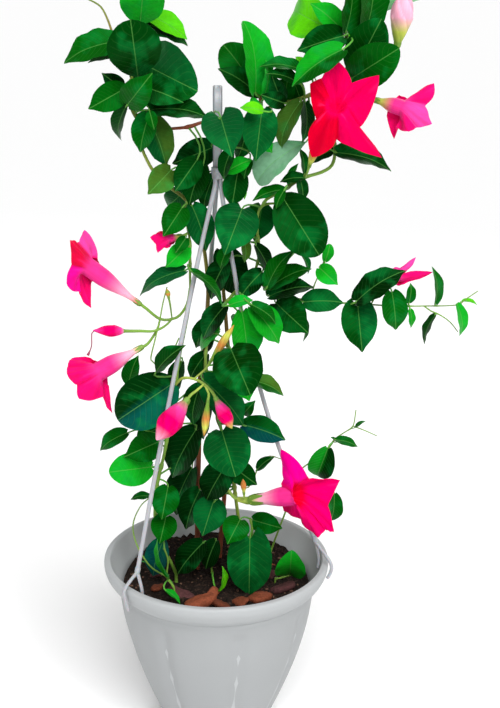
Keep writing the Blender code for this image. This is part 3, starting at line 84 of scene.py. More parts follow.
# Potting mix
SOIL_Z = 0.163
SOIL_ROUGHNESS = 0.0016
HEAP = 0.009
HOLE_DEPTH = 0.014
MIX_RADIUS = 0.1042
MIX_SIDES = 150
MIX_WAVES = ((0.011, 0.0009), (0.006, 0.0006), (0.0034, 0.0004))
FRONT_CHIPS = (
    (-0.018, -0.048, 0.018, 0.4), (0.004, -0.052, 0.017, 1.9), (-0.040, -0.026, 0.015, 2.6),
    (0.048, -0.036, 0.016, 0.9), (0.074, -0.016, 0.015, 0.2), (0.026, -0.044, 0.012, 2.2),
    (-0.005, -0.030, 0.012, 1.1), (0.060, 0.016, 0.013, 2.9), (-0.066, -0.012, 0.013, 1.4),
)
CHIPS = 13
CHIP_DISTANCE = 0.024
CHIP_LOOKS = ("terracotta", "terracotta", "plum_bark", "terracotta", "plum_bark")
CRUMBS = 420

# Hanger
HUB_X = 0.0014
HUB_Z = RIM_Z + 0.423
HOOK_TOP_Z = RIM_Z + 0.5105
STRAP_WIDTH = 0.0096
STRAP_THICKNESS = 0.0040
HOOK_INNER_RADIUS = 0.013
HOOK_END = math.radians(-25)
STRAP_SIDE = ((0.0, 0.0), (0.0001, 0.30), (0.0004, 0.55), (0.0010, 0.80), (0.0018, 0.95), (0.0024, 1.0))
STRAP_TIP = (0.96, 0.86, 0.66, 0.30)
HUB_PROFILE = (
    (0.001, -0.0040), (0.0046, -0.0040), (0.0052, -0.0034), (0.0058, 0.0015), (0.0064, 0.0022),
    (0.0066, 0.0034), (0.0064, 0.0060), (0.0066, 0.0074), (0.0060, 0.0080), (0.001, 0.0080),
)
HUB_SIDES = 32
ARM_RADIUS = 0.0023
ROD_SIDES = 16
USUAL_LEG = 0.0245


class Clip(NamedTuple):
    """A hanger clip: its azimuth, where its fork starts, its arm's bow outward and its outer leg's length."""
    azimuth: float
    radius: float
    height: float
    bow: float
    leg: float


CLIPS = {
    "front_left": Clip(224.0, 0.1146, 0.020, 0.003, 0.0245),
    "right": Clip(350.0, 0.1095, 0.026, -0.016, 0.0150),
    "back": Clip(104.0, 0.1130, 0.020, 0.0, 0.0200),
}

# Pane of glass that the plant is laid out on
EYE = np.array((0.0, -1.20, RIM_Z + 0.6075))
PITCH = math.radians(17.3)
PANE_DISTANCE = 1.190
PANE_WIDTH = 500
PANE_HEIGHT = 708
AXIS_U = 216.2
MIDDLE_V = 354.0
AHEAD = np.array((0.0, math.cos(PITCH), -math.sin(PITCH)))
UPWARD = np.array((0.0, math.sin(PITCH), math.cos(PITCH)))
RIGHTWARD = np.array((1.0, 0.0, 0.0))

# Leaves, as they grow
STEM_STEP = 0.028
FINE_STEP = 0.004
USUAL_BREADTH = 0.70
SUNK = 0.35
FOLD = math.radians(14)
ARCH = 0.09
CLEAR_THICKNESS = 0.0022
FOLDED_WIDTH = 0.029
BLADE_ROWS = (0.13, 0.46, 0.81)
PETIOLE_RADIUS = 0.0009
PETIOLE_REACH = 0.006
SMALL_LEAF = 0.018
RIB_WIDTH = 0.0011
WAVE_LENGTH = 0.035
TIP_START = 0.80
STEM_SIDES = 14
JOINT_WIDTH = 0.0022
FIRST_SEED = 100

# Flowers
NOTCH_LAG = 0.3
FLOWER_REACH = 0.007
FLOWER_GAP = 0.0005
TUBE_ROWS = 11
LIMB_ROWS = 12
THROAT_ROW = 8
PETALS = 5
CALYX_SIDES = 40
CALYX_WALL = 0.00025
BUD_PROFILE = ((0.0, 0.20), (0.22, 0.62), (0.5, 1.0), (0.72, 0.86), (0.9, 0.40), (1.0, 0.07))
BUD_SIDES = 50
GREEN_BUDS = ("bud_hanging_green", "bud_upright", "bud_low_small", "bud_left_small")
THREAD_COLOUR = (0.30, 0.06, 0.10)

# Studio
LIT_POINT = (0.03, 0.0, 0.5)
FLOOR_PROFILE = ((0.01, -0.02), (95.0, -0.02), (95.0, -0.0004), (0.01, -0.0004))
LAMPS = (
    ("sun", "SUN", (0.35, -1.7, 2.6), math.radians(50), 3.3),
    ("key", "AREA", (0.9, -1.3, 1.5), 0.5, 8.0),
    ("fill", "AREA", (-1.6, -1.2, 0.9), 1.0, 3.0),
    ("rim", "AREA", (0.5, 1.5, 1.7), 0.8, 9.0),
)
SKY_FALL = {"From Min": 0.16, "From Max": 0.36, "To Min": 1.0, "To Max": 0.18}
FLOOR_SIDES = 96
SENSOR = 36.0

# Outlines of a blade: how it rises from its base, how it closes at its tip, how deep its heart notch is
OVAL = (0.50, 0.70, 0.10)
HEART = (0.42, 0.72, 0.24)
ROUND = (0.50, 0.50, 0.08)
LANCE = (0.75, 0.85, 0.0)
WEDGE = (0.90, 0.45, 0.0)


class Leaf(NamedTuple):
    """A leaf on the pane: its base and tip, its seen width and its depth, and the greens of its seen left
    and right halves; paired has a partner behind."""
    base: tuple
    tip: tuple
    width: float
    depth: float
    look: str
    paired: bool = False
    form: tuple = OVAL


class Stem(NamedTuple):
    """A stem through places (u, v, depth); thick and thin are its radii in mm at its foot and tip."""
    places: tuple
    thick: float
    thin: float


class Shoot(NamedTuple):
    """A leafy stem: its hole in the mix, if it stands there, how much of it is bark, its stems, the first
    the main one, and its leaves."""
    root: tuple
    bark: float
    stems: tuple
    leaves: tuple


def leaf_rows(*rows):
    """Leaves from rows of (base u, base v, tip u, tip v, width, depth, look[, paired, form])."""
    return tuple(Leaf(row[:2], row[2:4], *row[4:]) for row in rows)


class Lobe(NamedTuple):
    """A petal lobe: its tip (u, v, depth behind the mouth), the notch after it, and both sides' swell."""
    tip: tuple
    notch: tuple
    swell: tuple


class Bloom(NamedTuple):
    """An open flower: foot and mouth of its tube, both radii in mm, and its lobes, clockwise; tints are the
    colours of its neck, tube and throat, and petals those of its lobes' fronts."""
    foot: tuple
    mouth: tuple
    neck: float
    throat: float
    lobes: tuple
    tints: str
    petals: str


class Bud(NamedTuple):
    """A closed flower from its foot to its tip: its widest width in mm, the colours along it, a withered
    thread on it, and the share of its length at which it is widest."""
    foot: tuple
    tip: tuple
    width: float
    tints: str
    thread: tuple = ()
    belly: float = 0.5


# How much of a shoot is bark; below nothing it is yellow-green
OLD_WOOD = 3.0
WOODY = 1.0
GREEN = 0.0
LIMY = -0.8

SHOOTS = {
    "crown_left_vine": Shoot(
        (-0.022, 0.030), WOODY,
        (
            Stem(((198, 486, 30), (199, 440, 30), (198, 400, 30), (203, 350, 34), (208, 300, 28),
                  (205, 255, 18), (196, 215, 16), (184, 198, 16), (171, 188, 6), (155, 173, -4),
                  (146, 158, -8), (141, 145, -8), (140, 131, -8), (136, 116, -8), (129, 104, -8),
                  (128, 92, -6), (131, 80, -4), (136, 66, -2), (141, 46, 0), (140, 24, 2),
                  (143, 2, 4)), 2.6, 1.2),
            Stem(((136, 66, -2), (124, 56, -6), (116, 46, -8), (112, 32, -6), (107, 18, -2), (101, 7, 2),
                  (92, 1, 6), (82, -3, 8)), 1.3, 0.7),
        ),
        leaf_rows(
            (121, 41, 65, 60, 26, -14, "g"), (140, 24, 146, -38, 44, 4, "b", True, LANCE),
            (141, 24, 187, 42, 21, -12, "d"), (150, 16, 186, 38, 20, 10, "y"),
            (138, 78, 131, 23, 52, -20, "d", True, WEDGE), (140, 62, 195, 90, 60, -8, "dt", True, ROUND),
            (150, 110, 207, 115.5, 23, -24, "d"), (140, 86, 181, 101, 28, -4, "d"),
            (128, 104, 150, 76, 30, -30, "g", True), (146, 92, 172, 79, 16, -14, "t"),
            (124, 89, 90, 108, 28, -20, "g"), (122, 88, 103, 74, 17, -10, "k"),
            (113, 56.5, 88.5, 62, 8, -8, "g"), (118, 101, 98, 107, 7, -26, "k"),
            (127, 105, 118, 140, 14, -24, "d"), (150, 113, 140, 151, 25, -12, "g"),
            (149, 118, 166, 165, 31, -22, "to", True), (150, 112, 154, 129, 12, -28, "g"),
        ),
    ),
    "crown_right_vine": Shoot(
        (0.004, 0.052), WOODY,
        (
            Stem(((224, 500, 48), (228, 440, 44), (230, 380, 38), (226, 320, 30), (222, 260, 24),
                  (230, 215, 18), (233, 180, 14), (231, 158, 12), (234, 138, 10), (244, 119, 6),
                  (262, 111, 2), (283, 103, 0), (300, 99, -2), (320, 90, 4), (340, 80, 10), (350, 66, 10),
                  (348, 48, 8), (346, 28, 6), (349, 5, 4)), 2.4, 1.1),
            Stem(((350, 66, 10), (358, 46, 12), (366, 28, 12), (370, 8, 12)), 1.2, 0.9),
            Stem(((262, 111, 2), (260, 96, 2), (257, 78, 2)), 1.1, 0.9),
            Stem(((350, 66, 10), (353, 82, 8), (361, 94, 2), (370, 99, -3)), 1.0, 1.6),
            Stem(((350, 58, 10), (370, 61, 12), (387, 57, 10), (396, 48, 8)), 1.0, 1.8),
        ),
        leaf_rows(
            (262, 110, 256, 158, 36, -12, "t", True), (257, 135, 272, 152, 14, -28, "b"),
            (300, 103, 279, 147, 20, -14, "o", True), (306, 142, 255, 180, 32, -20, "s", False, WEDGE),
            (255, 92, 246, 21, 30, -4, "b", False, ROUND), (257, 94, 220, 69, 22, -10, "d"),
            (264, 96, 268, 62, 14, -8, "b"), (257, 92, 224, 44, 38, 6, "g", True, ROUND),
            (303, 71, 262, 65, 12, -6, "g"), (297, 82, 268, 73, 13, -8, "d"),
            (284, 103, 262, 95, 17, -10, "k"), (283, 102, 289, 74, 19, -6, "g"),
            (281, 100, 272, 76, 18, 6, "k"), (300, 96, 270, 84, 18, 10, "d"),
            (262, 111, 241, 107, 12, -16, "y"), (257, 113, 252, 97, 11, -20, "b"),
            (325, 27, 291, 9, 43, 8, "y", True, ROUND), (341, 29, 312, 4, 22, 0, "b"),
            (343, 36, 299, 50, 30, -6, "d", True), (322, 51, 302, 65, 17, -14, "d"),
            (306, 66, 296, 57, 9, 8, "y"), (342, 50, 293.5, 84.5, 27, -24, "bg"),
            (346, 30, 351, -34, 24, -6, "g"), (366, 30, 373, -30, 26, 2, "g", True),
            (352, 78, 398, 49, 42, -12, "g", True, ROUND), (355, 70, 381, 20, 40, 2, "d", False, ROUND),
            (352, 74, 346, 28, 9, -14, "y"), (349, 62, 354, 44, 8, -18, "b"),
            (337, 153, 390, 169, 21, -2, "d"), (305, 103, 304, 141, 14, -6, "d"),
            (300, 98, 292, 76, 16, 4, "g"), (376, 10, 418, -2, 16, 12, "s"),
            (238, 170, 232, 206, 26, 4, "d"), (228, 171, 251, 160, 15, -16, "b"),
            (250, 160, 244, 178, 12, -8, "g"), (241, 185, 245, 199, 5, -6, "y"),
            (232, 150, 223, 179, 15, 2, "d"), (246, 128, 237, 160, 18, 8, "d"),
        ),
    ),
    "runner_behind_hook": Shoot(
        None, OLD_WOOD,
        (
            Stem(((241, 120, 12), (231, 122, 14), (218, 123, 14), (204, 122, 10), (188, 127, 4),
                  (168, 129, -2), (150, 131, -3)), 1.5, 1.2),
        ),
        leaf_rows(
            (221, 118, 231, 153, 43, -22, "t", True, HEART), (214, 147, 174, 163, 30, -8, "k", True),
            (197, 160, 176, 190, 26, -14, "d"), (203, 166, 189, 204, 26, 0, "d"),
        ),
    ),
    "left_vine": Shoot(
        (-0.045, 0.004), GREEN,
        (
            Stem(((160, 540, -12), (155, 510, -14), (158, 480, -16), (164, 455, -18), (170, 420, -20),
                  (175, 388, -22), (179, 360, -20), (186, 325, -16), (190, 300, -12), (190, 272, -10),
                  (190, 243, -8), (187, 225, -6), (186, 207, -4), (190, 192, 0), (197, 176, 4)), 2.0, 1.1),
            Stem(((188, 232, -7), (186, 235, -11), (182, 236, -15)), 0.9, 1.3),
        ),
        leaf_rows(
            (171, 170, 149, 193, 27, -6, "o", True), (186, 190, 167, 207, 25, 12, "t"),
            (182, 208, 164, 235, 28, -14, "g", True), (192, 206, 206, 249, 28, 0, "t", True),
            (186, 238, 176, 252, 14, -18, "g"), (187, 247, 167, 266, 22, -12, "b", True),
            (184, 271, 139, 292, 17, -18, "t"), (192, 272, 223, 303, 9, -34, "g"),
            (214, 176, 203, 208, 20, 4, "d", True), (172, 384, 118, 420, 54, -20, "kq", True, ROUND),
            (129, 383, 137, 357, 18, -6, "g"), (156, 372, 184, 346, 18, -30, "d", False, LANCE),
            (127, 433, 100, 449, 17, -10, "g"), (151, 467, 110, 472, 34, -24, "b", True, ROUND),
            (158, 442, 126, 456, 30, -14, "g", True), (160, 428, 136, 440, 16, -4, "g"),
            (168, 487, 162, 518, 28, -20, "g", True), (166, 517, 160, 542, 27, -14, "g"),
            (200, 386, 192, 424, 22, -12, "d", True), (196, 430, 172, 476, 34, -4, "k", True),
            (182, 362, 175, 393, 17, -6, "d"), (192, 468, 174, 514, 30, 4, "k"),
        ),
    ),
    "right_vine": Shoot(
        (0.020, 0.030), 0.5 * LIMY,
        (
            Stem(((240, 540, 28), (236, 500, 20), (230, 460, 12), (222, 432, 6), (214, 405, 4),
                  (207, 378, 2), (206, 350, 2), (213, 325, 4), (225, 304, 5), (240, 287, 6), (255, 270, 5),
                  (259, 250, 5), (257, 226, 5), (262, 206, 4), (285, 203, 7)), 2.2, 1.1),
            Stem(((232, 478, 14), (246, 488, 4), (254, 478, 0), (260, 462, -2), (270, 456, -4),
                  (281, 459, -6)), 0.8, 0.5),
        ),
        leaf_rows(
            (242, 209, 226, 251, 45, -18, "t", True), (262, 206, 256, 241, 32, -8, "gt"),
            (284, 199, 319, 255, 50, -20, "d", True, ROUND), (222, 250, 240, 296, 34, 12, "k", True),
            (226, 262, 210, 298, 24, 2, "k"), (244, 240, 245, 262, 10, -8, "o"),
            (228, 248, 220, 268, 14, -4, "g"), (225, 306, 203, 338, 22, 6, "k", True),
            (219, 331, 199, 350, 13, -12, "b"), (256, 246, 270, 277, 14, -8, "k"),
            (242, 312, 247, 360, 33, -24, "b", True), (252, 307, 279, 342, 28, -20, "b", True),
            (252, 305, 276, 322, 14, -28, "g"), (230, 305, 252, 300, 12, -26, "b"),
            (231, 349, 249, 392, 51, -34, "d", True, ROUND), (241, 378, 249, 400, 21, -28, "b"),
            (250, 380, 283, 394, 16, -24, "go"), (203, 380, 243, 424, 36, -16, "t", True),
            (244, 413, 254, 402, 14, -24, "g"), (244, 425, 284, 439, 27, -34, "qd", True),
            (222, 431, 235, 475, 49, -40, "t", True, ROUND), (232, 466, 256, 484, 24, -4, "d"),
            (258, 469, 273, 457, 10, -4, "d"), (228, 462, 206, 500, 32, 4, "k", True),
            (214, 500, 203, 534, 34, -8, "t", True), (200, 490, 186, 528, 26, 10, "k", True),
            (206, 354, 190, 378, 19, 6, "d"), (210, 320, 196, 347, 18, 10, "d"),
            (206, 394, 203, 438, 24, 12, "k"), (262, 272, 240, 297, 22, 6, "k"),
            (216, 322, 206, 353, 17, 4, "d"),
        ),
    ),
    "right_shoot": Shoot(
        None, GREEN,
        (
            Stem(((255, 270, 5), (264, 286, 0), (280, 295, 2), (310, 301, 4), (341, 303, 6), (352, 303, 6),
                  (377, 305, 6), (400, 306, 5), (424, 306, 4), (456, 305, 0), (466, 299, -2),
                  (478, 291, -4)), 1.3, 0.5),
            Stem(((424, 306, 4), (431, 311, 3), (440, 315, 2), (450, 322, 0), (458, 332, -2)), 0.8, 0.5),
            Stem(((310, 301, 4), (314, 286, 0), (320, 272, -4), (325, 258, -6)), 0.9, 0.5),
            Stem(((371, 305, 6), (375, 296, 8), (381, 287, 7)), 0.8, 1.2),
            Stem(((280, 295, 2), (277, 282, -2), (282, 268, -4)), 0.9, 0.6),
        ),
        leaf_rows(
            (304, 302, 342, 302, 24, -6, "t"), (276, 303, 306, 331, 38, -12, "d", True),
            (303, 318, 304, 341, 5, -6, "d"), (270, 296, 312, 286, 20, 4, "k", True),
            (271, 287, 309, 268, 19, -12, "g"), (268, 286, 291, 251, 18, -16, "g"),
            (301, 254, 309, 273, 6, -4, "d"), (325, 261, 330, 244, 11, -8, "b", False, ROUND),
            (320, 268, 337, 284, 20, -10, "b"), (357, 301, 403, 271, 26, -12, "k"),
            (358, 307, 362, 350, 36, -4, "dt", False, HEART), (392, 292, 396, 329, 26, -4, "g"),
            (409, 302, 411, 284, 10, 2, "g"), (410, 310, 411, 327.5, 7, 2, "b"),
            (435, 303, 433, 268, 9, 2, "g"), (435, 316, 424, 343, 8, 0, "d"),
            (457, 305, 462, 335, 10, -2, "b"), (463, 301, 477, 304, 4, 0, "y"),
        ),
    ),
    "low_right_shoot": Shoot(
        (0.062, 0.050), GREEN,
        (
            Stem(((290, 500, 52), (300, 472, 50), (308, 464, 48), (320, 456, 48), (329, 448, 48),
                  (335, 439, 48), (345, 432, 48), (353, 426, 48), (356, 410, 48)), 1.3, 0.6),
            Stem(((300, 472, 50), (313, 484, 44), (326, 492, 36), (334, 495, 28)), 0.9, 0.7),
            Stem(((353, 426, 48), (366, 431, 46), (377, 436, 46)), 0.7, 0.5),
        ),
        leaf_rows(
            (328, 448, 317, 477, 27, 40, "bd", False, ROUND), (336, 440, 357, 446, 9, 46, "g"),
            (334, 494, 331, 521, 16, 22, "g", False, ROUND), (356, 427, 365, 421, 4, 46, "g"),
            (336, 441, 331, 437, 3, 46, "g"),
        ),
    ),
    "front_shoot": Shoot(
        (0.026, 0.004), GREEN,
        (
            Stem(((246, 560, -2), (250, 545, -6), (252, 530, -6), (250, 518, -4)), 1.5, 1.0),
        ),
        leaf_rows(
            (250, 538, 249, 595, 45, -14, "t", False, HEART), (240, 520, 228, 543, 28, -14, "g"),
            (253, 520, 281, 528, 22, 2, "g", True),
        ),
    ),
    "left_foot_shoot": Shoot(
        (-0.046, -0.030), GREEN,
        (
            Stem(((167, 577, -28), (168, 560, -28), (164, 548, -26)), 1.1, 0.9),
            Stem(((167, 577, -28), (150, 566, -26), (137, 545, -20), (133, 525, -16), (140, 507, -12),
                  (149, 498, -10)), 1.0, 0.6),
        ),
        leaf_rows(
            (163, 541, 153, 575, 24, -16, "q", True), (168, 575, 157, 541, 5, -34, "b"),
            (166, 577, 143, 560.5, 5, -34, "b"), (166, 591, 180, 603, 6, -34, "b"),
            (149, 496, 131, 498.5, 8, -12, "g"),
        ),
    ),
    "heart_leaf_shoot": Shoot(
        (0.066, -0.004), GREEN,
        (
            Stem(((291, 584, -3), (291, 578, -1), (290.5, 575, 1)), 1.1, 0.8),
        ),
        leaf_rows(
            (290, 574, 291.5, 553, 31, -2, "b", False, ROUND),
        ),
    ),
    "middle_foot_shoot": Shoot(
        (-0.004, 0.010), GREEN,
        (
            Stem(((212, 572, 8), (210, 556, 8), (206, 543, 6)), 1.3, 0.9),
        ),
        leaf_rows(
            (203, 543, 178, 573, 26, -6, "k", True), (216, 541, 206, 568, 20, 0, "k"),
            (219, 590, 224, 568, 5, -14, "y"),
        ),
    ),
    "top_bloom_stalk": Shoot(
        None, GREEN,
        (
            Stem(((262, 206, 4), (267, 199, -7), (276, 194, -10), (288, 187, -9), (303, 178, -6),
                  (322, 172, -4), (332, 165, -2), (335, 152, 0), (334, 138, 0)), 1.6, 1.8),
            Stem(((303, 178, -6), (306, 173, -16), (308, 169, -20)), 1.1, 1.2),
        ),
        leaf_rows(
            (284, 190, 253.5, 200, 11, -16, "g"), (276, 192, 262, 194, 7, -22, "b"),
            (304, 178, 281, 181, 11, -14, "d"), (300, 179, 303, 201, 12, -14, "d"),
            (284, 191, 276, 208, 10, -24, "g"), (290, 185, 297, 164, 8, -12, "b"),
            (334, 150, 309, 163, 14, 2, "d"), (304, 173, 300, 149, 9, -4, "g"),
        ),
    ),
    "left_bloom_stalk": Shoot(
        None, GREEN,
        (
            Stem(((190, 288, -12), (187, 304, -16), (180, 315, -18), (172, 319, -20), (160, 319, -22),
                  (150, 312, -24), (141, 305, -26)), 1.3, 1.6),
            Stem(((172, 319, -20), (165, 326, -22), (154, 331, -24), (140, 331, -26),
                  (125, 331, -28)), 1.0, 1.8),
            Stem(((160, 319, -22), (157, 330, -20), (152, 338, -20), (143, 346, -22)), 1.0, 1.6),
            Stem(((160, 319, -22), (163, 303, -20), (167, 287, -18)), 0.8, 0.6),
            Stem(((160, 319, -22), (155, 340, -24), (151, 360, -26), (160, 363, -28), (172, 352, -30),
                  (179, 338, -32)), 0.8, 0.7),
            Stem(((172, 319, -20), (172, 308, -24), (169, 300, -28)), 0.7, 1.1),
        ),
        (),
    ),
    "hanging_bud_stalk": Shoot(
        None, LIMY,
        (
            Stem(((176, 384, -22), (183, 378, -32), (194, 379, -40), (204, 384, -46), (212, 390, -50),
                  (215, 397, -52)), 1.3, 1.6),
            Stem(((204, 384, -46), (196, 391, -54), (188, 399, -63)), 1.1, 1.6),
            Stem(((204, 384, -46), (208, 392, -50), (208, 399, -52)), 0.9, 1.5),
            Stem(((194, 379, -40), (203, 372, -40), (209, 364, -38)), 0.9, 1.2),
        ),
        (),
    ),
    "low_bloom_stalk": Shoot(
        None, LIMY,
        (
            Stem(((230, 460, 12), (219, 472, 0), (226, 487, -10), (235, 498, -17),
                  (243, 500, -19)), 1.3, 2.0),
            Stem(((236, 498, -18), (243, 498, -24), (244, 495, -26)), 1.0, 1.2),
            Stem(((238, 499, -18), (251, 500, -20)), 2.8, 4.8),
        ),
        (),
    ),
}

BLOOMS = {
    "bloom_top_front": Bloom((334, 134, 0), (337, 106, -44), 3.5, 9.0, (
        Lobe((335, 59, 6), (352, 83), (0.05, 0.10)),
        Lobe((379, 75, 4), (358, 129), (0.03, 0.09)),
        Lobe((382, 158, 2), (337, 140), (0.07, 0.02)),
        Lobe((312, 157, -2), (316, 120), (0.14, 0.15)),
        Lobe((310, 84, 2), (322, 78), (0.04, 0.05))), "ylr", "rrrcc"),
    "bloom_top_side": Bloom((374, 99.5, -4), (402, 108, -10), 2.6, 8.0, (
        Lobe((399, 95, 14), (408, 100), (0.10, 0.0)),
        Lobe((434, 83, 6), (425, 106), (0.11, 0.18)),
        Lobe((432, 124, -12), (415, 128), (0.0, 0.05)),
        Lobe((408, 131, -18), (397, 127), (0.10, 0.10)),
        Lobe((394, 139, 4), (387, 113), (0.0, 0.05))), "gyh", "hhlhh"),
    "bloom_upper_left": Bloom((140, 304, -26), (87, 266, -34), 2.4, 9.5, (
        Lobe((85, 230, 6), (98, 258), (0.08, 0.12)),
        Lobe((101, 271, 24), (91, 284), (0.0, 0.0)),
        Lobe((91, 308, 4), (80, 291), (0.0, 0.10)),
        Lobe((67, 284, -16), (72, 264), (0.18, 0.12)),
        Lobe((70, 240, -18), (79, 242), (0.0, 0.05))), "oph", "lhhmc"),
    "bloom_lower_left": Bloom((142, 347, -22), (98, 372, -32), 2.6, 10.0, (
        Lobe((72, 358, 4), (93, 359), (0.05, 0.08)),
        Lobe((106, 366, 24), (109, 386), (0.0, 0.0)),
        Lobe((112, 413, 4), (103, 396), (0.0, 0.05)),
        Lobe((79, 399, -18), (77, 384), (0.10, 0.10)),
        Lobe((67, 374, -20), (68, 364), (0.10, 0.05))), "yph", "hhhhh"),
    "bloom_low_right": Bloom((252, 500, -20), (297, 495, -44), 5.2, 11.0, (
        Lobe((281, 449, 4), (309, 480), (0.02, 0.10)),
        Lobe((340, 480, 6), (328, 506), (0.03, 0.0)),
        Lobe((334, 532, -8), (326, 529), (0.02, 0.0)),
        Lobe((318, 537, -2), (301, 521), (0.05, 0.0)),
        Lobe((284, 511, 22), (283, 479), (0.0, 0.0))), "ypc", "mhhhh"),
    "half_open_left": Bloom((181, 236, -16), (169, 239, -18), 2.2, 4.0, (
        Lobe((164, 231, 4), (175, 235), (0.10, 0.10)),
        Lobe((177, 239, 8), (172, 244), (0.10, 0.10)),
        Lobe((168, 248, -2), (163, 247), (0.10, 0.10)),
        Lobe((158, 253, -6), (156, 244), (0.10, 0.10)),
        Lobe((150, 237, -4), (157, 233), (0.05, 0.05))), "gyh", "chhhh"),
    "half_open_right": Bloom((382, 285, 6), (397, 277, 8), 2.4, 5.0, (
        Lobe((395, 267, 6), (402, 268), (0.05, 0.05)),
        Lobe((416, 257, 2), (405, 273), (0.05, 0.10)),
        Lobe((433, 272, -4), (410, 281), (0.06, 0.08)),
        Lobe((403, 284, -4), (396, 285), (0.05, 0.05)),
        Lobe((390, 281, 6), (389, 273), (0.05, 0.05))), "gyh", "llhhh"),
}

BUDS = {
    "bud_top_pale": Bud((397, 46, 8), (406, -12, 6), 22, "gyppp"),
    "bud_beside_top_bloom": Bud((309, 167, -22), (318, 140, -30), 9, "gyolc"),
    "bud_left_slender": Bud((124, 331, -28), (93, 330.5, -34), 12, "plhhl",
                            ((96, 330.5, -34), (92, 333, -34), (91.5, 346, -33), (88, 355, -32)), 0.34),
    "bud_left_small": Bud((169, 299, -29), (167, 289, -29), 5, "ggogo"),
    "bud_hanging_large": Bud((187, 400, -64), (156.5, 440, -86), 24, "glhhp"),
    "bud_hanging_green": Bud((208, 400, -53), (204, 436, -58), 8, "ggoyo"),
    "bud_hanging_pink": Bud((215.5, 398, -53), (232, 428.5, -60), 15, "glhhy"),
    "bud_upright": Bud((209.5, 363, -38), (234, 325, -42), 8, "ggoyo"),
    "bud_low_small": Bud((244, 494, -26), (243, 479, -26), 6, "gyooo"),
}


# Colours by their letters in the tables
LEAF_GREENS = {"d": "deep_green", "g": "mid_green", "b": "bright_green", "y": "lime", "t": "teal",
               "u": "underside", "o": "olive", "q": "blue_reflection_green", "s": "silver", "k": "shade_green"}
PETAL_PINKS = {"h": "hot_pink", "m": "magenta", "c": "crimson", "l": "light_pink", "p": "pale_pink",
               "r": "rose", "y": "calyx_yellow", "g": "young_green", "o": "bud_orange"}


# Settings
def length_setting(name, description, default):
    """A length that the user may change, in metres."""
    return bpy.props.FloatProperty(name=name, description=description, default=default, min=0.0, precision=5,
                                   unit="LENGTH")


def colour_setting(name, description, default):
    """A colour that the user may change."""
    return bpy.props.FloatVectorProperty(
        name=name, description=description, default=default, min=0.0, max=1.0, size=3, subtype="COLOR")


class MandevillaSizes(bpy.types.PropertyGroup):
    """Sizes of the fine detail."""
    blade_thickness: length_setting("Leaf thickness", "Thickness of a leaf blade at its midrib", 0.0006)
    rib_height: length_setting("Midrib height", "How far a leaf's midrib stands out below it", 0.0005)
    petal_thickness: length_setting("Petal thickness", "Thickness of a petal", 0.0005)
    panel_groove: length_setting("Panel groove", "Depth of the grooves between the pot's panels", 0.0020)
    strap_web: length_setting("Hook web", "Thickness of the hook strap between its raised edges", 0.0034)
    crumb: length_setting("Crumb size", "Mean size of the crumbs on the potting mix", 0.0032)
    leaf_wave: bpy.props.FloatProperty(
        name="Leaf wave", description="Height of a leaf's waves, as a share of its half width",
        default=0.07, min=0.0, max=0.3)


class MandevillaColours(bpy.types.PropertyGroup):
    """Colours of the plant, its pot and the hanger."""
    deep_green: colour_setting("Deep green", "Old leaves in shade", (0.0004, 0.030, 0.0010))
    # Painted shade: this near-black green stands for leaves deep in the plant's shade.
    shade_green: colour_setting("Shade green", "Leaves inside the plant", (0.0003, 0.011, 0.0006))
    mid_green: colour_setting("Mid green", "Grown leaves", (0.0008, 0.070, 0.0012))
    bright_green: colour_setting("Bright green", "Young leaves", (0.005, 0.290, 0.011))
    lime: colour_setting("Lime", "The youngest leaves", (0.100, 0.580, 0.004))
    teal: colour_setting("Teal", "Leaves with a blue-green sheen", (0.0014, 0.066, 0.012))
    # Painted reflection: this blue-green stands for the blue sheen that glossy leaves reflect.
    blue_reflection_green: colour_setting("Sea green", "Old leaves with a strong blue cast", (0.0010, 0.050, 0.050))
    underside: colour_setting("Underside", "The lower face of a leaf", (0.040, 0.190, 0.055))
    silver: colour_setting("Silver green", "A leaf that shows its palest lower face", (0.170, 0.370, 0.220))
    olive: colour_setting("Olive", "Leaves that turn brown", (0.040, 0.105, 0.010))
    sheen: colour_setting("Sheen", "The lit patches on a leaf's upper face", (0.004, 0.230, 0.040))
    vein: colour_setting("Veins", "Midribs and side veins", (0.130, 0.420, 0.080))
    young_green: colour_setting("Young stem", "Green stems and calyxes", (0.180, 0.340, 0.045))
    bark: colour_setting("Bark", "Woody stems", (0.210, 0.055, 0.025))
    hot_pink: colour_setting("Hot pink", "Petals", (0.760, 0.000, 0.115))
    magenta: colour_setting("Magenta", "Petals in the top bloom", (0.760, 0.000, 0.220))
    # Painted shade: crimson stands for petals and throats in shade.
    crimson: colour_setting("Crimson", "Petals in shade and the inside of a throat", (0.600, 0.000, 0.018))
    rose: colour_setting("Rose", "Lit petals in the top bloom", (0.740, 0.000, 0.072))
    light_pink: colour_setting("Light pink", "Backs of petals", (0.780, 0.050, 0.300))
    pale_pink: colour_setting("Pale pink", "Opening petals", (0.930, 0.420, 0.560))
    calyx_yellow: colour_setting("Calyx yellow", "Feet of the tubes", (0.520, 0.600, 0.100))
    bud_orange: colour_setting("Bud orange", "Tips of green buds", (0.560, 0.210, 0.050))
    pot: colour_setting("Pot", "The pot's plastic", (0.320, 0.332, 0.338))
    hanger: colour_setting("Hanger", "The hanger's plastic", (0.330, 0.340, 0.370))
    mix: colour_setting("Potting mix", "Damp mix", (0.013, 0.008, 0.006))
    fibre: colour_setting("Fibre", "Dry fibres in the mix", (0.100, 0.054, 0.036))
    terracotta: colour_setting("Clay chips", "Fired clay chips", (0.185, 0.048, 0.022))
    plum_bark: colour_setting("Bark chips", "Purple-brown bark chips", (0.075, 0.028, 0.028))
    floor: colour_setting("Floor", "The studio floor", (0.940, 0.940, 0.940))


def chosen(name):
    """The user's colour of that name."""
    return tuple(getattr(bpy.context.scene.mandevilla_colours, name))


def palette(names):
    """The user's colours for each letter."""
    return {letter: np.array(chosen(name)) for letter, name in names.items()}


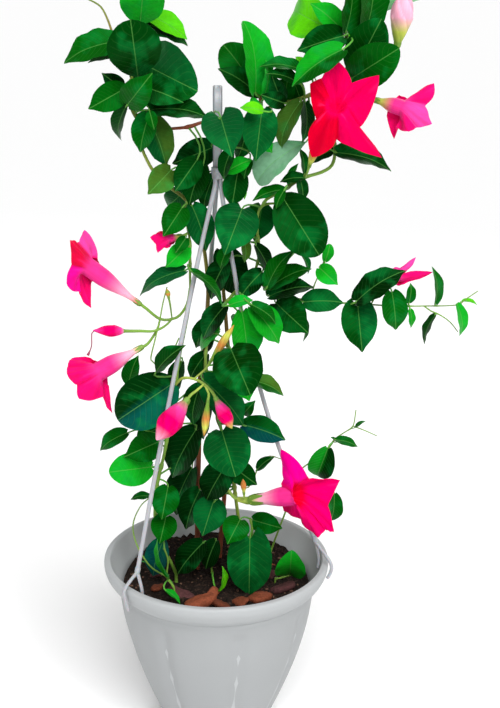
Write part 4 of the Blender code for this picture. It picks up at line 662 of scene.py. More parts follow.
# Materials
class Wire:
    """An output in a material's nodes; sums and products with it make Math nodes."""

    def __init__(self, finish, socket):
        self.finish = finish
        self.socket = socket

    def maths(self, operation, *values):
        """The result of one Math node."""
        return self.finish.add("ShaderNodeMath", {"operation": operation}, dict(enumerate(values)))

    def __add__(self, other):
        return self.maths("ADD", self, other)

    def __radd__(self, other):
        return self.maths("ADD", other, self)

    def __sub__(self, other):
        return self.maths("SUBTRACT", self, other)

    def __rsub__(self, other):
        return self.maths("SUBTRACT", other, self)

    def __mul__(self, other):
        return self.maths("MULTIPLY", self, other)

    def __abs__(self):
        return self.maths("ABSOLUTE", self)

    def fraction(self):
        """What is left of the value past the whole number below it."""
        return self.maths("FRACT", self)

    def between(self, low, high):
        """0 up to low, 1 from high on, and a smooth step in between."""
        return self.finish.add("ShaderNodeMapRange", {"interpolation_type": "SMOOTHSTEP"},
                               {"Value": self, "From Min": low, "From Max": high})

    def scaled(self, amount):
        """The colour or vector times a number."""
        return self.finish.add("ShaderNodeVectorMath", {"operation": "SCALE"}, {0: self, "Scale": amount})


class Finish:
    """A Principled material that is being put together; its constants are set on the shader itself."""

    def __init__(self, name, **constants):
        self.material = bpy.data.materials.new(name)
        self.material.use_nodes = True
        self.tree = self.material.node_tree
        self.shader = self.tree.nodes["Principled BSDF"]
        for socket, value in constants.items():
            self.shader.inputs[socket.replace("_", " ")].default_value = value

    def add(self, kind, settings=None, sockets=None, output=0):
        """One more node with its settings and its sockets, each a constant or a wire; gives one output."""
        node = self.tree.nodes.new(kind)
        for setting, value in (settings or {}).items():
            setattr(node, setting, value)
        for socket, value in (sockets or {}).items():
            self.feed(node.inputs[socket], value)
        return Wire(self, node.outputs[output])

    def feed(self, socket, value):
        """Set a socket, or join a wire to it."""
        if isinstance(value, Wire):
            self.tree.links.new(value.socket, socket)
        else:
            socket.default_value = value

    def attribute(self, name, output):
        """A value that the piece's mesh holds for each of its points."""
        return self.add("ShaderNodeAttribute", {"attribute_name": name}, output=output)

    def parts(self, vector):
        """The three numbers of a vector."""
        node = self.add("ShaderNodeSeparateXYZ", sockets={0: vector}).socket.node
        return [Wire(self, socket) for socket in node.outputs]

    def place(self):
        """The three numbers that say where on the surface a point lies."""
        return self.parts(self.attribute("place", "Vector"))

    def position(self):
        """Where a point lies in object space."""
        return self.add("ShaderNodeTexCoord", output="Object")

    def joined(self, x, y, z=0.0):
        """A vector from three numbers."""
        return self.add("ShaderNodeCombineXYZ", sockets={0: x, 1: y, 2: z})

    def noise(self, scale, detail=2.0, vector=None, roughness=0.5):
        """Cloudy noise from 0 to 1, in object space unless a vector is given."""
        return self.add("ShaderNodeTexNoise", None, {"Vector": vector or self.position(), "Scale": scale,
                                                     "Detail": detail, "Roughness": roughness}, "Fac")

    def cells(self, scale):
        """Crumb-like cells in object space, as the distance to a cell's middle."""
        return self.add("ShaderNodeTexVoronoi", None, {"Vector": self.position(), "Scale": scale}, "Distance")

    def blend(self, share, first, second):
        """The first colour at share 0 and the second at share 1."""
        node = self.tree.nodes.new("ShaderNodeMix")
        node.data_type = "RGBA"
        ends = [(*end, 1.0) if isinstance(end, (tuple, list)) else end for end in (first, second)]
        for name, value in zip(("Factor_Float", "A_Color", "B_Color"), (share, *ends)):
            self.feed(next(s for s in node.inputs if s.identifier == name), value)
        return Wire(self, next(s for s in node.outputs if s.identifier == "Result_Color"))

    def bumped(self, height, distance, strength=1.0):
        """Relief from a height of 0 to 1 over a distance in metres."""
        sockets = {"Height": height, "Distance": distance, "Strength": strength}
        bump = self.add("ShaderNodeBump", None, sockets)
        self.feed(self.shader.inputs["Normal"], bump)

    def show(self, **wires):
        """Join wires to the shader's own sockets."""
        for socket, wire in wires.items():
            self.feed(self.shader.inputs[socket.replace("_", " ")], wire)
        return self.material


def leaf_finish():
    """Leaf blades: pale midrib and side veins over the leaf's own green, glossy above and dull below."""
    made = Finish("leaf", Specular_IOR_Level=0.32, Specular_Tint=(0.01, 0.60, 0.09, 1.0))
    along, across, half_width_mm = made.place()
    tone = made.attribute("tone", "Color")
    above = made.attribute("tone", "Alpha")
    aside = abs(across)
    midrib = 1.0 - (aside * half_width_mm).between(0.15, 0.75)
    ladder = (along * 10.0 - aside * 2.0 - aside * aside * 0.7).fraction()
    side_vein = abs(ladder * 2.0 - 1.0).between(0.80, 0.98) * (1.0 - aside.between(0.72, 0.97))
    mottle = made.noise(210.0, 3.0)
    # Painted highlight: random patches of the upper face blend towards the sheen colour.
    sheen = made.noise(48.0, 2.0).between(0.50, 0.68) * above
    with_painted_sheen = made.blend(sheen * 0.30, tone.scaled(0.72 + mottle * 0.46), chosen("sheen"))
    veined = made.blend(midrib * 0.34 + side_vein * 0.04, with_painted_sheen, chosen("vein"))
    made.bumped(0.5 - midrib * 0.40 - side_vein * 0.16 + made.noise(1400.0) * 0.10, 0.0011, 0.7)
    return made.show(Base_Color=veined, Roughness=0.30 + mottle * 0.14 + (1.0 - above) * 0.26)


def stem_finish():
    """Stems: smooth green where young, and rough bark with lengthwise cracks where woody."""
    made = Finish("stem", Specular_IOR_Level=0.25)
    along, around, bark = made.place()
    tone = made.attribute("tone", "Color")
    cracks = made.noise(1.0, 4.0, made.joined(along * 0.22, around * 9.0))
    fine = made.noise(900.0, 3.0)
    made.bumped(cracks * bark + fine * 0.2, 0.0007, 0.9)
    mottled = tone.scaled(0.62 + cracks * bark * 0.5 + fine * 0.4)
    return made.show(Base_Color=mottled, Roughness=0.46 + bark * 0.3)


def petal_finish():
    """Petals: soft and slightly velvety, with fine veins that run out from the throat."""
    made = Finish("petal", Specular_IOR_Level=0.14, Specular_Tint=(1.0, 0.0, 0.3, 1.0),
                  Subsurface_Weight=0.10, Subsurface_Scale=0.002)
    outward, across, _ = made.place()
    tone = made.attribute("tone", "Color")
    streaks = made.noise(1.0, 4.0, made.joined(across * 26.0, outward * 2.2))
    fold_light_and_shade = made.noise(1.0, 2.0, made.joined(across * 4.5, outward * 1.1))
    cloud = made.noise(120.0, 2.0)
    made.bumped(streaks * 0.6 + made.noise(1600.0) * 0.2, 0.0006, 0.7)
    # Painted shade and highlight: broad bands across the lobes darken the folds, and their crests blend
    # towards light pink.
    uneven = tone.scaled(0.50 + fold_light_and_shade * 0.50 + streaks * 0.24 + cloud * 0.26)
    lit = made.blend(fold_light_and_shade.between(0.56, 0.80) * 0.20, uneven, chosen("light_pink"))
    return made.show(Base_Color=lit, Roughness=0.42 + cloud * 0.14)


def pot_finish():
    """Moulded pot plastic: faint clouds, specks, a fine matte grain and a little darkening towards the base.
    """
    made = Finish("pot_plastic_fine", Specular_IOR_Level=0.45)
    _, _, height = made.parts(made.position())
    cloud = made.noise(24.0, 4.0)
    speck = made.noise(700.0, 2.0).between(0.70, 0.78)
    darkening = (1.0 - height.between(0.0, 0.05)) * 0.25 + speck * 0.18 + cloud * 0.12
    inside, _, _ = made.place()
    shown = made.blend(darkening, chosen("pot"), (0.27, 0.28, 0.28))
    made.bumped(made.noise(1500.0, 2.0), 0.00006, 0.8)
    # Painted light: the band below the rim and the inner wall are made paler to stand for the light on them.
    painted_light = 1.0 + height.between(BAND_FOOT, BAND_FOOT + 0.006) * 0.16 + inside * 0.30
    return made.show(Base_Color=shown.scaled(painted_light), Roughness=0.50 + cloud * 0.16)


def hanger_finish():
    """Translucent hanger plastic: milky, with soft gloss, faint flow marks and painted shade along the
    strap's edges.
    """
    made = Finish("hanger_plastic_fine", Specular_IOR_Level=0.5,
                  Subsurface_Weight=0.3, Subsurface_Scale=0.004)
    flow = made.noise(90.0, 3.0)
    x, _, height = made.parts(made.position())
    # Painted shade: the strap darkens along its edges above the hub, as thick translucent plastic looks
    # there.
    rib = abs(x - HUB_X).between(0.0024, 0.0044) * height.between(HUB_Z + 0.008, HUB_Z + 0.020)
    shown = made.blend(flow * 0.45, chosen("hanger"), (0.42, 0.44, 0.46))
    shown = made.blend(rib * 0.65, shown, (0.10, 0.10, 0.11))
    made.bumped(made.noise(1100.0), 0.00005, 0.7)
    return made.show(Base_Color=shown, Roughness=0.26 + flow * 0.18)


def mix_finish():
    """Damp potting mix: dark crumbs with paler fibres between them."""
    made = Finish("potting_mix_fine", Specular_IOR_Level=0.12)
    crumbs = made.cells(330.0)
    fibre = made.noise(240.0, 5.0, roughness=0.7).between(0.52, 0.72)
    damp = made.noise(45.0, 3.0)
    shown = made.blend(fibre * 0.8, chosen("mix"), chosen("fibre"))
    made.bumped(crumbs * 0.7 + made.noise(600.0, 5.0) * 0.5, 0.0025, 1.0)
    return made.show(Base_Color=shown.scaled(0.6 + damp * 0.8), Roughness=0.82 + damp * 0.14)


def chip_finish():
    """Clay and bark chips and crumbs: each in its own tone, pitted and dusty."""
    made = Finish("chip", Specular_IOR_Level=0.15)
    tone = made.attribute("tone", "Color")
    grain = made.noise(420.0, 5.0, roughness=0.65)
    made.bumped(grain, 0.0012, 0.9)
    return made.show(Base_Color=tone.scaled(0.20 + grain * 1.7), Roughness=0.74 + grain * 0.2)


def floor_finish():
    """The studio floor: pale and matte, with a trace of unevenness."""
    made = Finish("studio_floor", Specular_IOR_Level=0.0)
    cloud = made.noise(3.0, 2.0)
    shown = made.blend(cloud * 0.1, chosen("floor"), (0.92, 0.92, 0.92))
    return made.show(Base_Color=shown, Roughness=0.9 + cloud * 0.05)


# Pieces from grids of points
class Piece:
    """Closed grids of points gathered into one mesh, with a tone and a place on the surface at each point."""

    def __init__(self):
        self.points = []
        self.corners = []
        self.sizes = []
        self.slots = []
        self.tones = []
        self.places = []
        self.count = 0

    def add(self, rings, tone=WHITE, place=NOWHERE, slot=0):
        """Rings of points, each closed round, joined one to the next and closed by a fan at both ends.

        The second half of a ring is split along the other diagonal, so that both faces of a thin, twisted
        blade bend alike and neither comes through the other.
        """
        rows, columns = rings.shape[:2]
        index = self.count + np.arange(rows * columns).reshape(rows, columns)
        beside = np.roll(index, -1, axis=1)
        quads = np.stack((index[:-1], beside[:-1], beside[1:], index[1:]), axis=-1)
        quads[:, columns // 2:] = np.roll(quads[:, columns // 2:], -1, axis=-1)
        quads = quads.reshape(-1, 4)
        first, last = self.count + rows * columns, self.count + rows * columns + 1
        start = np.stack((np.full(columns, first), beside[0], index[0]), axis=-1)
        end = np.stack((np.full(columns, last), index[-1], beside[-1]), axis=-1)
        points = np.concatenate((rings.reshape(-1, 3), rings[:1].mean(axis=1), rings[-1:].mean(axis=1)))
        middle = points.mean(axis=0)
        a, b, c, d = (points[quads[:, k] - self.count] - middle for k in range(4))
        volume = (np.cross(b - a, c - a) * (a + b + c)).sum() + (np.cross(c - a, d - a) * (a + c + d)).sum()
        if volume < 0:
            quads, start, end = quads[:, ::-1], start[:, ::-1], end[:, ::-1]
        self.points.append(points)
        self.corners += [quads.ravel(), start.ravel(), end.ravel()]
        self.sizes += [np.full(len(quads), 4), np.full(2 * columns, 3)]
        self.slots.append(np.full(len(quads) + 2 * columns, slot))
        for kept, values, width in ((self.tones, tone, 4), (self.places, place, 3)):
            grid = np.broadcast_to(values, (rows, columns, width))
            kept.append(np.concatenate((grid.reshape(-1, width), grid[0, :1], grid[-1, :1])))
        self.count += len(points)

    def finished(self, name, materials, crease=50.0):
        """The object, with edges sharper than the crease in degrees kept sharp."""
        mesh = bpy.data.meshes.new(name)
        points, sizes = np.concatenate(self.points), np.concatenate(self.sizes)
        corners = np.concatenate(self.corners)
        mesh.vertices.add(len(points))
        mesh.vertices.foreach_set("co", points.astype(np.float32).ravel())
        mesh.loops.add(len(corners))
        mesh.loops.foreach_set("vertex_index", corners.astype(np.int32))
        mesh.polygons.add(len(sizes))
        starts = np.cumsum(sizes) - sizes
        mesh.polygons.foreach_set("loop_start", starts.astype(np.int32))
        mesh.polygons.foreach_set("material_index", np.concatenate(self.slots).astype(np.int32))
        for label, kind, key, kept in (("tone", "FLOAT_COLOR", "color", self.tones),
                                       ("place", "FLOAT_VECTOR", "vector", self.places)):
            layer = mesh.attributes.new(label, kind, "POINT")
            layer.data.foreach_set(key, np.concatenate(kept).astype(np.float32).ravel())
        mesh.update(calc_edges=True)
        mesh.shade_smooth()
        mesh.set_sharp_from_angle(angle=math.radians(crease))
        for material in materials:
            mesh.materials.append(material)
        return put(name, mesh)


def put(name, data, place=NOWHERE):
    """A new object in the scene."""
    made = bpy.data.objects.new(name, data)
    made.location = place
    bpy.context.scene.collection.objects.link(made)
    return made


def stand_for(made, node):
    """Show the piece in place of the solid of that name: it hangs from the root body and the solid is hidden.
    """
    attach(made, "root")
    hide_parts(node)


def unit(vector):
    """The vector at length one."""
    return vector / np.linalg.norm(vector)


def units(vectors):
    """Each of the vectors at length one."""
    return vectors / np.linalg.norm(vectors, axis=-1, keepdims=True)


def smooth_step(values):
    """0 up to 0, 1 from 1 on, and three squares less two cubes in between."""
    share = np.clip(values, 0.0, 1.0)
    return share * share * (3 - 2 * share)


def sight(u, v, depth):
    """The point seen at (u, v) on the pane that lies depth mm behind the pot's axis."""
    ray = AHEAD * PANE_DISTANCE + RIGHTWARD * (u - AXIS_U) * MM + UPWARD * (MIDDLE_V - v) * MM
    return EYE + ray * (depth * MM - EYE[1]) / ray[1]


def pushed(point, distance):
    """The point moved along its own sight line, away from the eye."""
    return point + unit(point - EYE) * distance


def smooth_route(points, step):
    """Points about a step apart along the smooth curve through the given ones: cubics whose slope at each
    point is half the run between its two neighbours."""
    points = [np.array(p, float) for p in points]
    ends = [2 * points[0] - points[1]] + points + [2 * points[-1] - points[-2]]
    route = []
    for before, start, end, after in zip(ends, ends[1:], ends[2:], ends[3:]):
        pieces = max(1, round(np.linalg.norm(end - start) / step))
        t = np.arange(pieces)[:, None] / pieces
        route.append(0.5 * (2 * start + (end - before) * t + (2 * before - 5 * start + 4 * end - after) * t**2
                            + (3 * start - before - 3 * end + after) * t**3))
    return np.concatenate((*route, points[-1:]))


def carried_frames(route):
    """At each point of a route, two directions square to it and to each other, with no twist along it."""
    along = units(np.gradient(route, axis=0))
    across = [unit(np.cross(along[0], RIGHTWARD if abs(along[0][0]) < 0.9 else UPWARD))]
    for direction in along[1:]:
        across.append(unit(across[-1] - direction * across[-1].dot(direction)))
    across = np.array(across)
    return across, np.cross(along, across)


def round_angles(count):
    """Even angles once round."""
    return math.tau * np.arange(count) / count


def spokes_at(angles, across, other):
    """Directions at angles turned from across towards the other."""
    return across[..., None, :] * np.cos(angles)[:, None] + other[..., None, :] * np.sin(angles)[:, None]


def tube(route, radii, sides):
    """Rings round a route: each point plus its radius times the cosine and sine of the angle round it."""
    rim = spokes_at(round_angles(sides), *carried_frames(route))
    return route[:, None] + np.broadcast_to(radii, len(route))[:, None, None] * rim


def round_profile(profile, sides, turn=0.0):
    """Rings of a turned shape: each (radius, z) of the profile carried once round the axis."""
    radius, height = np.array(profile).T[:, :, None]
    angles = turn + round_angles(sides)
    return np.stack((radius * np.cos(angles), radius * np.sin(angles), height + 0 * angles), axis=-1)


def with_alpha(colour, alpha=1.0):
    """A colour, or a grid of them, with its fourth number."""
    colour = np.array(colour)
    return np.concatenate((colour, np.full((*colour.shape[:-1], 1), alpha)), axis=-1)


def places_of(*numbers):
    """A grid of places on a surface from three numbers or grids."""
    return np.stack(np.broadcast_arrays(*numbers), axis=-1)


# Pot
def make_pot(sizes):
    """The pot: its smoothed profile turned about its axis, less a groove between each two of its panels.

    A groove's depth falls off as a bell curve of the distance round the wall, and fades out at the band
    and at the base.
    """
    outer = smooth_route([(r, RIM_Z - down) for r, down in OUTER_PROFILE[:6]], 0.0012)
    body = smooth_route([(r, RIM_Z - down) for r, down in OUTER_PROFILE[6:]], 0.005)
    foot = [(BASE_RADIUS - in_by, z) for in_by, z in ((0.0012, 0.0), (0.005, 0.0), (0.0062, 0.0016))]
    inner = [(0.001, FLOOR), (BASE_RADIUS - WALL - 0.001, FLOOR)]
    inner += [(r - WALL, RIM_Z - down) for r, down in OUTER_PROFILE[10:6:-1]]
    inner += INNER_WALL
    outside = np.concatenate((outer[1:], [(0.1091, 0.1700)], body, foot, [(0.001, 0.0016)]))
    rings = round_profile(np.concatenate((inner, LIP, outside)), POT_SIDES, FIRST_GROOVE)
    wall = rings[len(inner) + len(LIP):]
    spacing = math.tau / PANELS
    turn = np.abs((round_angles(POT_SIDES) + spacing / 2) % spacing - spacing / 2)
    height = wall[:, :, 2]
    fade = smooth_step((height - 0.004) / 0.01) * smooth_step((BAND_FOOT - 0.004 - height) / 0.008)
    radius = np.hypot(wall[:, :, 0], wall[:, :, 1])
    groove = sizes.panel_groove * np.exp(-(turn * radius / GROOVE_WIDTH) ** 2) * fade
    rounding = PANEL_ROUNDING * (1 - np.minimum(turn / spacing * 2.6, 1.0)) ** 2 * fade
    wall[:, :, :2] *= (1 - (groove + rounding) / radius)[:, :, None]
    # The inner wall is marked so that its finish can paint light on it.
    inside = np.zeros((len(rings), 1, 3))
    inside[:len(inner), :, 0] = 1.0
    made = Piece()
    made.add(rings, place=inside)
    stand_for(made.finished("pot_moulded", [pot_finish()], 40.0), "pot")


# Potting mix
def heaped(y):
    """How far the mix is heaped up towards the back."""
    return HEAP * smooth_step((y + 0.01) / 0.08)


def soil_height(x, y):
    """The mix's uneven surface: low waves over a shallow dish, heaped up at the back."""
    wave = np.sin(95 * x + 1.3) * np.cos(80 * y) + 0.7 * np.sin(10200 * x * y + 140 * y)
    return SOIL_Z + SOIL_ROUGHNESS * wave + 0.006 * (np.hypot(x, y) / 0.1) ** 4 + heaped(y)


def chip_places():
    """Bark and clay chips: (x, y, size, turn), the ones in front listed and the rest by a seeded rule."""
    chips = list(FRONT_CHIPS)
    draw = random.Random(11)
    while len(chips) < CHIPS:
        angle, reach = draw.uniform(0, math.tau), draw.uniform(0.052, 0.086)
        x, y = reach * math.cos(angle), reach * math.sin(angle)
        if all(math.hypot(x - chip[0], y - chip[1]) > CHIP_DISTANCE for chip in chips):
            chips.append((x, y, draw.uniform(0.010, 0.014), draw.uniform(0, math.pi)))
    return chips


def chip_rings(x, y, size, turn):
    """A chip of bark or clay: a long, flat slab with broken ends, laid down at a tilt of its own.

    Round its edge the outline is a superellipse times one plus a few waves of the angle. Its upper face
    sinks and swells with two waves along its length, and its edge is rounded over in four rings.
    """
    draw = random.Random(round(1e6 * (x + 7 * y)))
    angles = round_angles(22)
    cosine, sine = np.cos(angles), np.sin(angles)
    outline = 1 / (np.abs(cosine) ** 3.2 + np.abs(sine) ** 3.2) ** (1 / 3.2)
    for waves in (2, 3, 5, 9):
        outline *= 1 + draw.uniform(0.02, 0.30 / waves) * np.sin(waves * angles + draw.uniform(0, math.tau))
    half_length, half_breadth, thick = size, size * draw.uniform(0.42, 0.66), size * draw.uniform(0.20, 0.34)
    shares = np.array((0.30, 0.86, 0.97, 1.00, 0.97, 0.86, 0.55, 0.20))[:, None]
    heights = thick * np.array((-0.9, -0.8, -0.4, 0.0, 0.4, 0.72, 0.86, 0.9))[:, None]
    along = half_length * shares * outline * cosine
    across = half_breadth * shares * outline * sine
    wave = draw.uniform(0, math.tau)
    relief = 0.10 * thick * (np.sin(7 * along / size + wave) + np.sin(11 * across / size + 2 * wave))
    pitch, roll = draw.uniform(-0.30, 0.30), draw.uniform(-0.35, 0.35)
    rise = heights + relief * (heights > 0) + along * math.sin(pitch) + across * math.sin(roll)
    rise += SOIL_Z + 0.55 * thick + 0.5 * abs(half_breadth * math.sin(roll))
    return np.stack((x + along * math.cos(turn) - across * math.sin(turn),
                     y + along * math.sin(turn) + across * math.cos(turn), rise), axis=-1)


def make_potting_mix(sizes):
    """The mix: a disc of waves and crumbs over the pot's filling, with chips and loose crumbs on it.

    A crumb is an ellipsoid: a ring's radius is the sine, and its height the cosine, of the angle from its
    top, each times its own half size.
    """
    draw = np.random.default_rng(5)
    reaches = np.append(np.linspace(0.001, 0.98, 44) ** 0.8 * MIX_RADIUS, MIX_RADIUS - 0.0003)[:, None]
    angles = round_angles(MIX_SIDES)
    x, y = reaches * np.cos(angles), reaches * np.sin(angles)
    z = soil_height(x, y)
    for wave_length, depth in MIX_WAVES:
        for _ in range(5):
            way, phase = draw.uniform(0, math.tau, 2)
            along = x * math.cos(way) + y * math.sin(way)
            z += depth * 0.45 * np.sin(math.tau / wave_length * along + phase)
    z = np.where(reaches > MIX_RADIUS - 0.002, SOIL_Z + 0.002 + heaped(y), z)
    side = [(r - WALL - GAP, RIM_Z - down) for r, down in OUTER_PROFILE[7:11]]
    side += [(BASE_RADIUS - WALL - 0.002, FLOOR + GAP), (0.001, FLOOR + GAP)]
    rings = np.concatenate((np.stack((x, y, z), axis=-1), round_profile(side, MIX_SIDES)))
    made = Piece()
    made.add(rings, with_alpha(chosen("mix")))
    for k, chip in enumerate(chip_places()):
        colour = np.array(chosen(CHIP_LOOKS[k % len(CHIP_LOOKS)])) * draw.uniform(0.75, 1.25)
        made.add(chip_rings(*chip), with_alpha(colour), slot=1)
    down = math.pi * np.array((0.12, 0.35, 0.62, 0.88))[:, None]
    around = round_angles(7)
    for _ in range(CRUMBS):
        way, reach = draw.uniform(0, math.tau), 0.098 * math.sqrt(draw.uniform(0.0, 1.0))
        x, y = reach * math.cos(way), reach * math.sin(way)
        half = sizes.crumb * draw.uniform(0.3, 0.9, 3)
        lumps = draw.uniform(0.8, 1.15, (4, 7))
        rings = np.stack((x + half[0] * np.sin(down) * np.cos(around) * lumps,
                          y + half[1] * np.sin(down) * np.sin(around) * lumps,
                          soil_height(x, y) + 0.5 * half[2] * np.cos(down) + 0 * around), axis=-1)
        name, darkest, palest = ("mix", 0.8, 2.2) if draw.random() < 0.75 else ("fibre", 0.6, 1.6)
        made.add(rings, with_alpha(np.array(chosen(name)) * draw.uniform(darkest, palest)), slot=1)
    mix = made.finished("potting_mix_crumbs", [mix_finish(), chip_finish()])
    stand_for(mix, "potting_mix")


# Hanger
def make_hook(sizes):
    """The hook: a strap swept up its shank and round its bend, and a turned hub at its foot.

    The strap's section is thick at its two edges and thin between them, and its end closes to a rounded
    point.
    """
    half = STRAP_THICKNESS / 2
    centre_y = HOOK_INNER_RADIUS + half
    centre_z = HOOK_TOP_Z - HOOK_INNER_RADIUS - STRAP_THICKNESS
    shank = np.stack((np.zeros(14), np.linspace(HUB_Z, centre_z, 14)), axis=-1)
    turn = np.linspace(math.pi, HOOK_END, 40)[1:]
    bend = np.stack((centre_y + centre_y * np.cos(turn), centre_z + centre_y * np.sin(turn)), axis=-1)
    line = np.concatenate((shank, bend))
    along = units(np.gradient(line, axis=0))
    outward = np.stack((-along[:, 1], along[:, 0]), axis=-1)
    edge, web = STRAP_WIDTH / 2, sizes.strap_web / 2
    left = np.array(STRAP_SIDE) * (1, half) - (edge, 0.0)
    flat = np.array(((-edge + 0.0030, web), (edge - 0.0030, web)))
    section = np.concatenate((left, flat, left[::-1] * (-1, 1)))
    section = np.concatenate((section, section[::-1] * (1, -1)))
    closing = np.ones((len(line), 1))
    closing[-len(STRAP_TIP):, 0] = STRAP_TIP
    width, rise = section[:, 0] * closing, section[:, 1] * closing
    swept = line[:, None] + outward[:, None] * rise[:, :, None]
    hook = Piece()
    hook.add(np.concatenate(((HUB_X + width)[:, :, None], swept), axis=2))
    hook.add(round_profile(HUB_PROFILE, HUB_SIDES) + np.array((HUB_X, 0.0, HUB_Z)))
    return hook


def make_arm(clip):
    """An arm from the hub to its fork, with a leg on each side of the rim.

    The arm's bow is the sine of the share of its length.
    """
    angle = math.radians(clip.azimuth)
    out = np.array((math.cos(angle), math.sin(angle), 0.0))
    along = np.array((-math.sin(angle), math.cos(angle), 0.0))
    up = np.array((0.0, 0.0, 1.0))

    def beside(outward, sideways, height):
        """A point by its distances out from the pot's axis, along the rim and up from it."""
        return out * outward + along * sideways + up * (RIM_Z + height)

    top = np.array((HUB_X, 0.0, 0.0)) + out * 0.0030 + up * (HUB_Z - 0.004 - GAP)
    fork = beside(clip.radius, 0.0, clip.height)
    run = fork - top
    bow = unit(np.cross(run, along))
    bow = bow if bow.dot(out) > 0 else -bow
    share = np.linspace(0, 1, 6)[:, None]
    points = top + run * share + bow * clip.bow * np.sin(math.pi * share)
    points = np.concatenate((points[:1] + up * 0.0012, points[:1] - up * 2 * ARM_RADIUS, points[1:]))
    reach = RIM_RADIUS + GAP + ARM_RADIUS
    outer_leg = [fork, beside(reach + 0.0006, -0.005, 0.003), beside(reach + 0.0002, -0.0055, -0.010),
                 beside(reach - 0.0042 * clip.leg / USUAL_LEG, -0.0058, -clip.leg)]
    inner_leg = [fork, beside(0.1136, 0.005, 0.003), beside(0.1130, 0.0055, -0.009)]
    arm = Piece()
    arm.add(tube(smooth_route(points, 0.006), ARM_RADIUS, ROD_SIDES))
    for leg in (outer_leg, inner_leg):
        arm.add(tube(smooth_route(leg, 0.0025), ARM_RADIUS * 0.8, 14))
    collar = np.array([fork + unit(run) * distance for distance in (-0.006, -0.004, 0.0, 0.002)])
    arm.add(tube(collar, ARM_RADIUS * np.array((1.0, 1.3, 1.3, 0.9)), ROD_SIDES))
    return arm


def make_hanger(sizes):
    """The hanger: its hook with the hub, and an arm to each of its clips."""
    plastic = hanger_finish()
    hook = make_hook(sizes).finished("hanger_hook_strap", [plastic], 30.0)
    stand_for(hook, "hanger_hook")
    for place, clip in CLIPS.items():
        arm = make_arm(clip).finished(f"hanger_arm_{place}_rod", [plastic], 50.0)
        stand_for(arm, f"hanger_arm_{place}")


# Plant layout
def loft(rings):
    """A closed solid through rings of equal length, capped flat at both ends."""
    rows, columns = rings.shape[:2]
    index = np.arange(rows * columns).reshape(rows, columns)
    beside = np.roll(index, -1, axis=1)
    sides = np.stack((index[:-1], beside[:-1], beside[1:], index[1:]), axis=-1).reshape(-1, 4)
    return rings.reshape(-1, 3), [tuple(index[0, ::-1]), *map(tuple, sides), tuple(index[-1])]


def half_width(s, form):
    """A blade's half width at the share s of its length, as a share of its greatest one."""
    rise, close, _ = form
    widest = rise / (rise + close)
    return (s / widest) ** rise * ((1 - s) / (1 - widest)) ** close


class Blade(NamedTuple):
    """A leaf in space: base, tip, real width, the direction that its upper face looks to, and its outline."""
    base: np.ndarray
    tip: np.ndarray
    width: float
    face: np.ndarray
    form: tuple


def blade_point(blade, s, q):
    """The point of the blade's middle surface at s along its midrib and q, from -1 to 1, across it."""
    axis = blade.tip - blade.base
    length = np.linalg.norm(axis)
    side = unit(np.cross(axis, blade.face))
    half = blade.width / 2 * half_width(s, blade.form)
    back = blade.form[2] * length * abs(q) ** 1.5 * (1 - s) ** 4
    lift = ARCH * length * 4 * s * (1 - s) + abs(q) * half * math.sin(FOLD)
    return blade.base + axis * s - unit(axis) * back + side * q * half * math.cos(FOLD) + blade.face * lift


def leaf_room(blade, joint, thickness, stalk):
    """The room that a leaf takes: its stalk and a thin slab, as points and faces."""
    axis = blade.tip - blade.base
    side = unit(np.cross(axis, blade.face))
    across_blade = (-1, 0, 1) if blade.width > FOLDED_WIDTH else (-1, 1)
    columns = len(across_blade)
    arriving = unit(unit(blade.base - joint) + unit(axis))
    across = unit(side - arriving * side.dot(arriving))
    up = np.cross(across, arriving)
    triangle = [up * stalk, (across * 0.87 - up * 0.5) * stalk, -(across * 0.87 + up * 0.5) * stalk]
    points = [joint + 0.55 * corner for corner in triangle] + [blade.base + corner for corner in triangle]
    lift = blade.face * thickness / 2
    rings = [[3] * columns + [4] * (columns - 1) + [5]]
    for s in BLADE_ROWS:
        row = [blade_point(blade, s, q) for q in across_blade]
        rings.append(list(range(len(points), len(points) + 2 * columns)))
        points += [p + lift for p in row] + [p - lift for p in row[::-1]]
    rings.append([len(points)] * columns + [len(points) + 1] * columns)
    points += [blade.tip + lift, blade.tip - lift]
    faces = [(0, 1, 2)]
    for j in range(3):
        nxt = (j + 1) % 3
        faces += [(j, 3 + j, 3 + nxt), (j, 3 + nxt, nxt)]
    for lower, upper in zip(rings, rings[1:]):
        for j in range(2 * columns):
            nxt = (j + 1) % (2 * columns)
            a, b, c, d = lower[j], lower[nxt], upper[j], upper[nxt]
            split = ((a, c, d), (a, d, b)) if j < columns else ((a, c, b), (b, c, d))
            faces += [part for part in split if len(set(part)) == 3]
    return points, faces


def under_flower(points):
    """The stem's points, its end led squarely up to the foot of the flower that it carries, if any."""
    for flower in (*BLOOMS.values(), *BUDS.values()):
        foot, head = sight(*flower.foot), sight(*(flower.mouth if isinstance(flower, Bloom) else flower.tip))
        if np.linalg.norm(points[-1] - foot) < FLOWER_REACH:
            axis = unit(head - foot)
            reach = min(FLOWER_REACH, 0.4 * np.linalg.norm(points[0] - foot))
            led = points[:1] + [p for p in points[1:-1] if np.linalg.norm(p - foot) > 2 * reach]
            return led + [foot - axis * reach, foot - axis * FLOWER_GAP]
    return points


def nearest_on(routes, point):
    """The nearest point on the middle lines of some stems, and the stem's radius and direction there."""
    found = []
    for route, radii in routes:
        run = route[1:] - route[:-1]
        share = np.clip(((point - route[:-1]) * run).sum(axis=1) / (run * run).sum(axis=1), 0.0, 1.0)
        share[-1] = min(share[-1], 1 - radii[-1] / np.linalg.norm(run[-1]))
        near = route[:-1] + run * share[:, None]
        k = int(np.linalg.norm(near - point, axis=1).argmin())
        found.append((near[k], max(radii[k], radii[k + 1]), unit(run[k])))
    return min(found, key=lambda place: np.linalg.norm(place[0] - point))


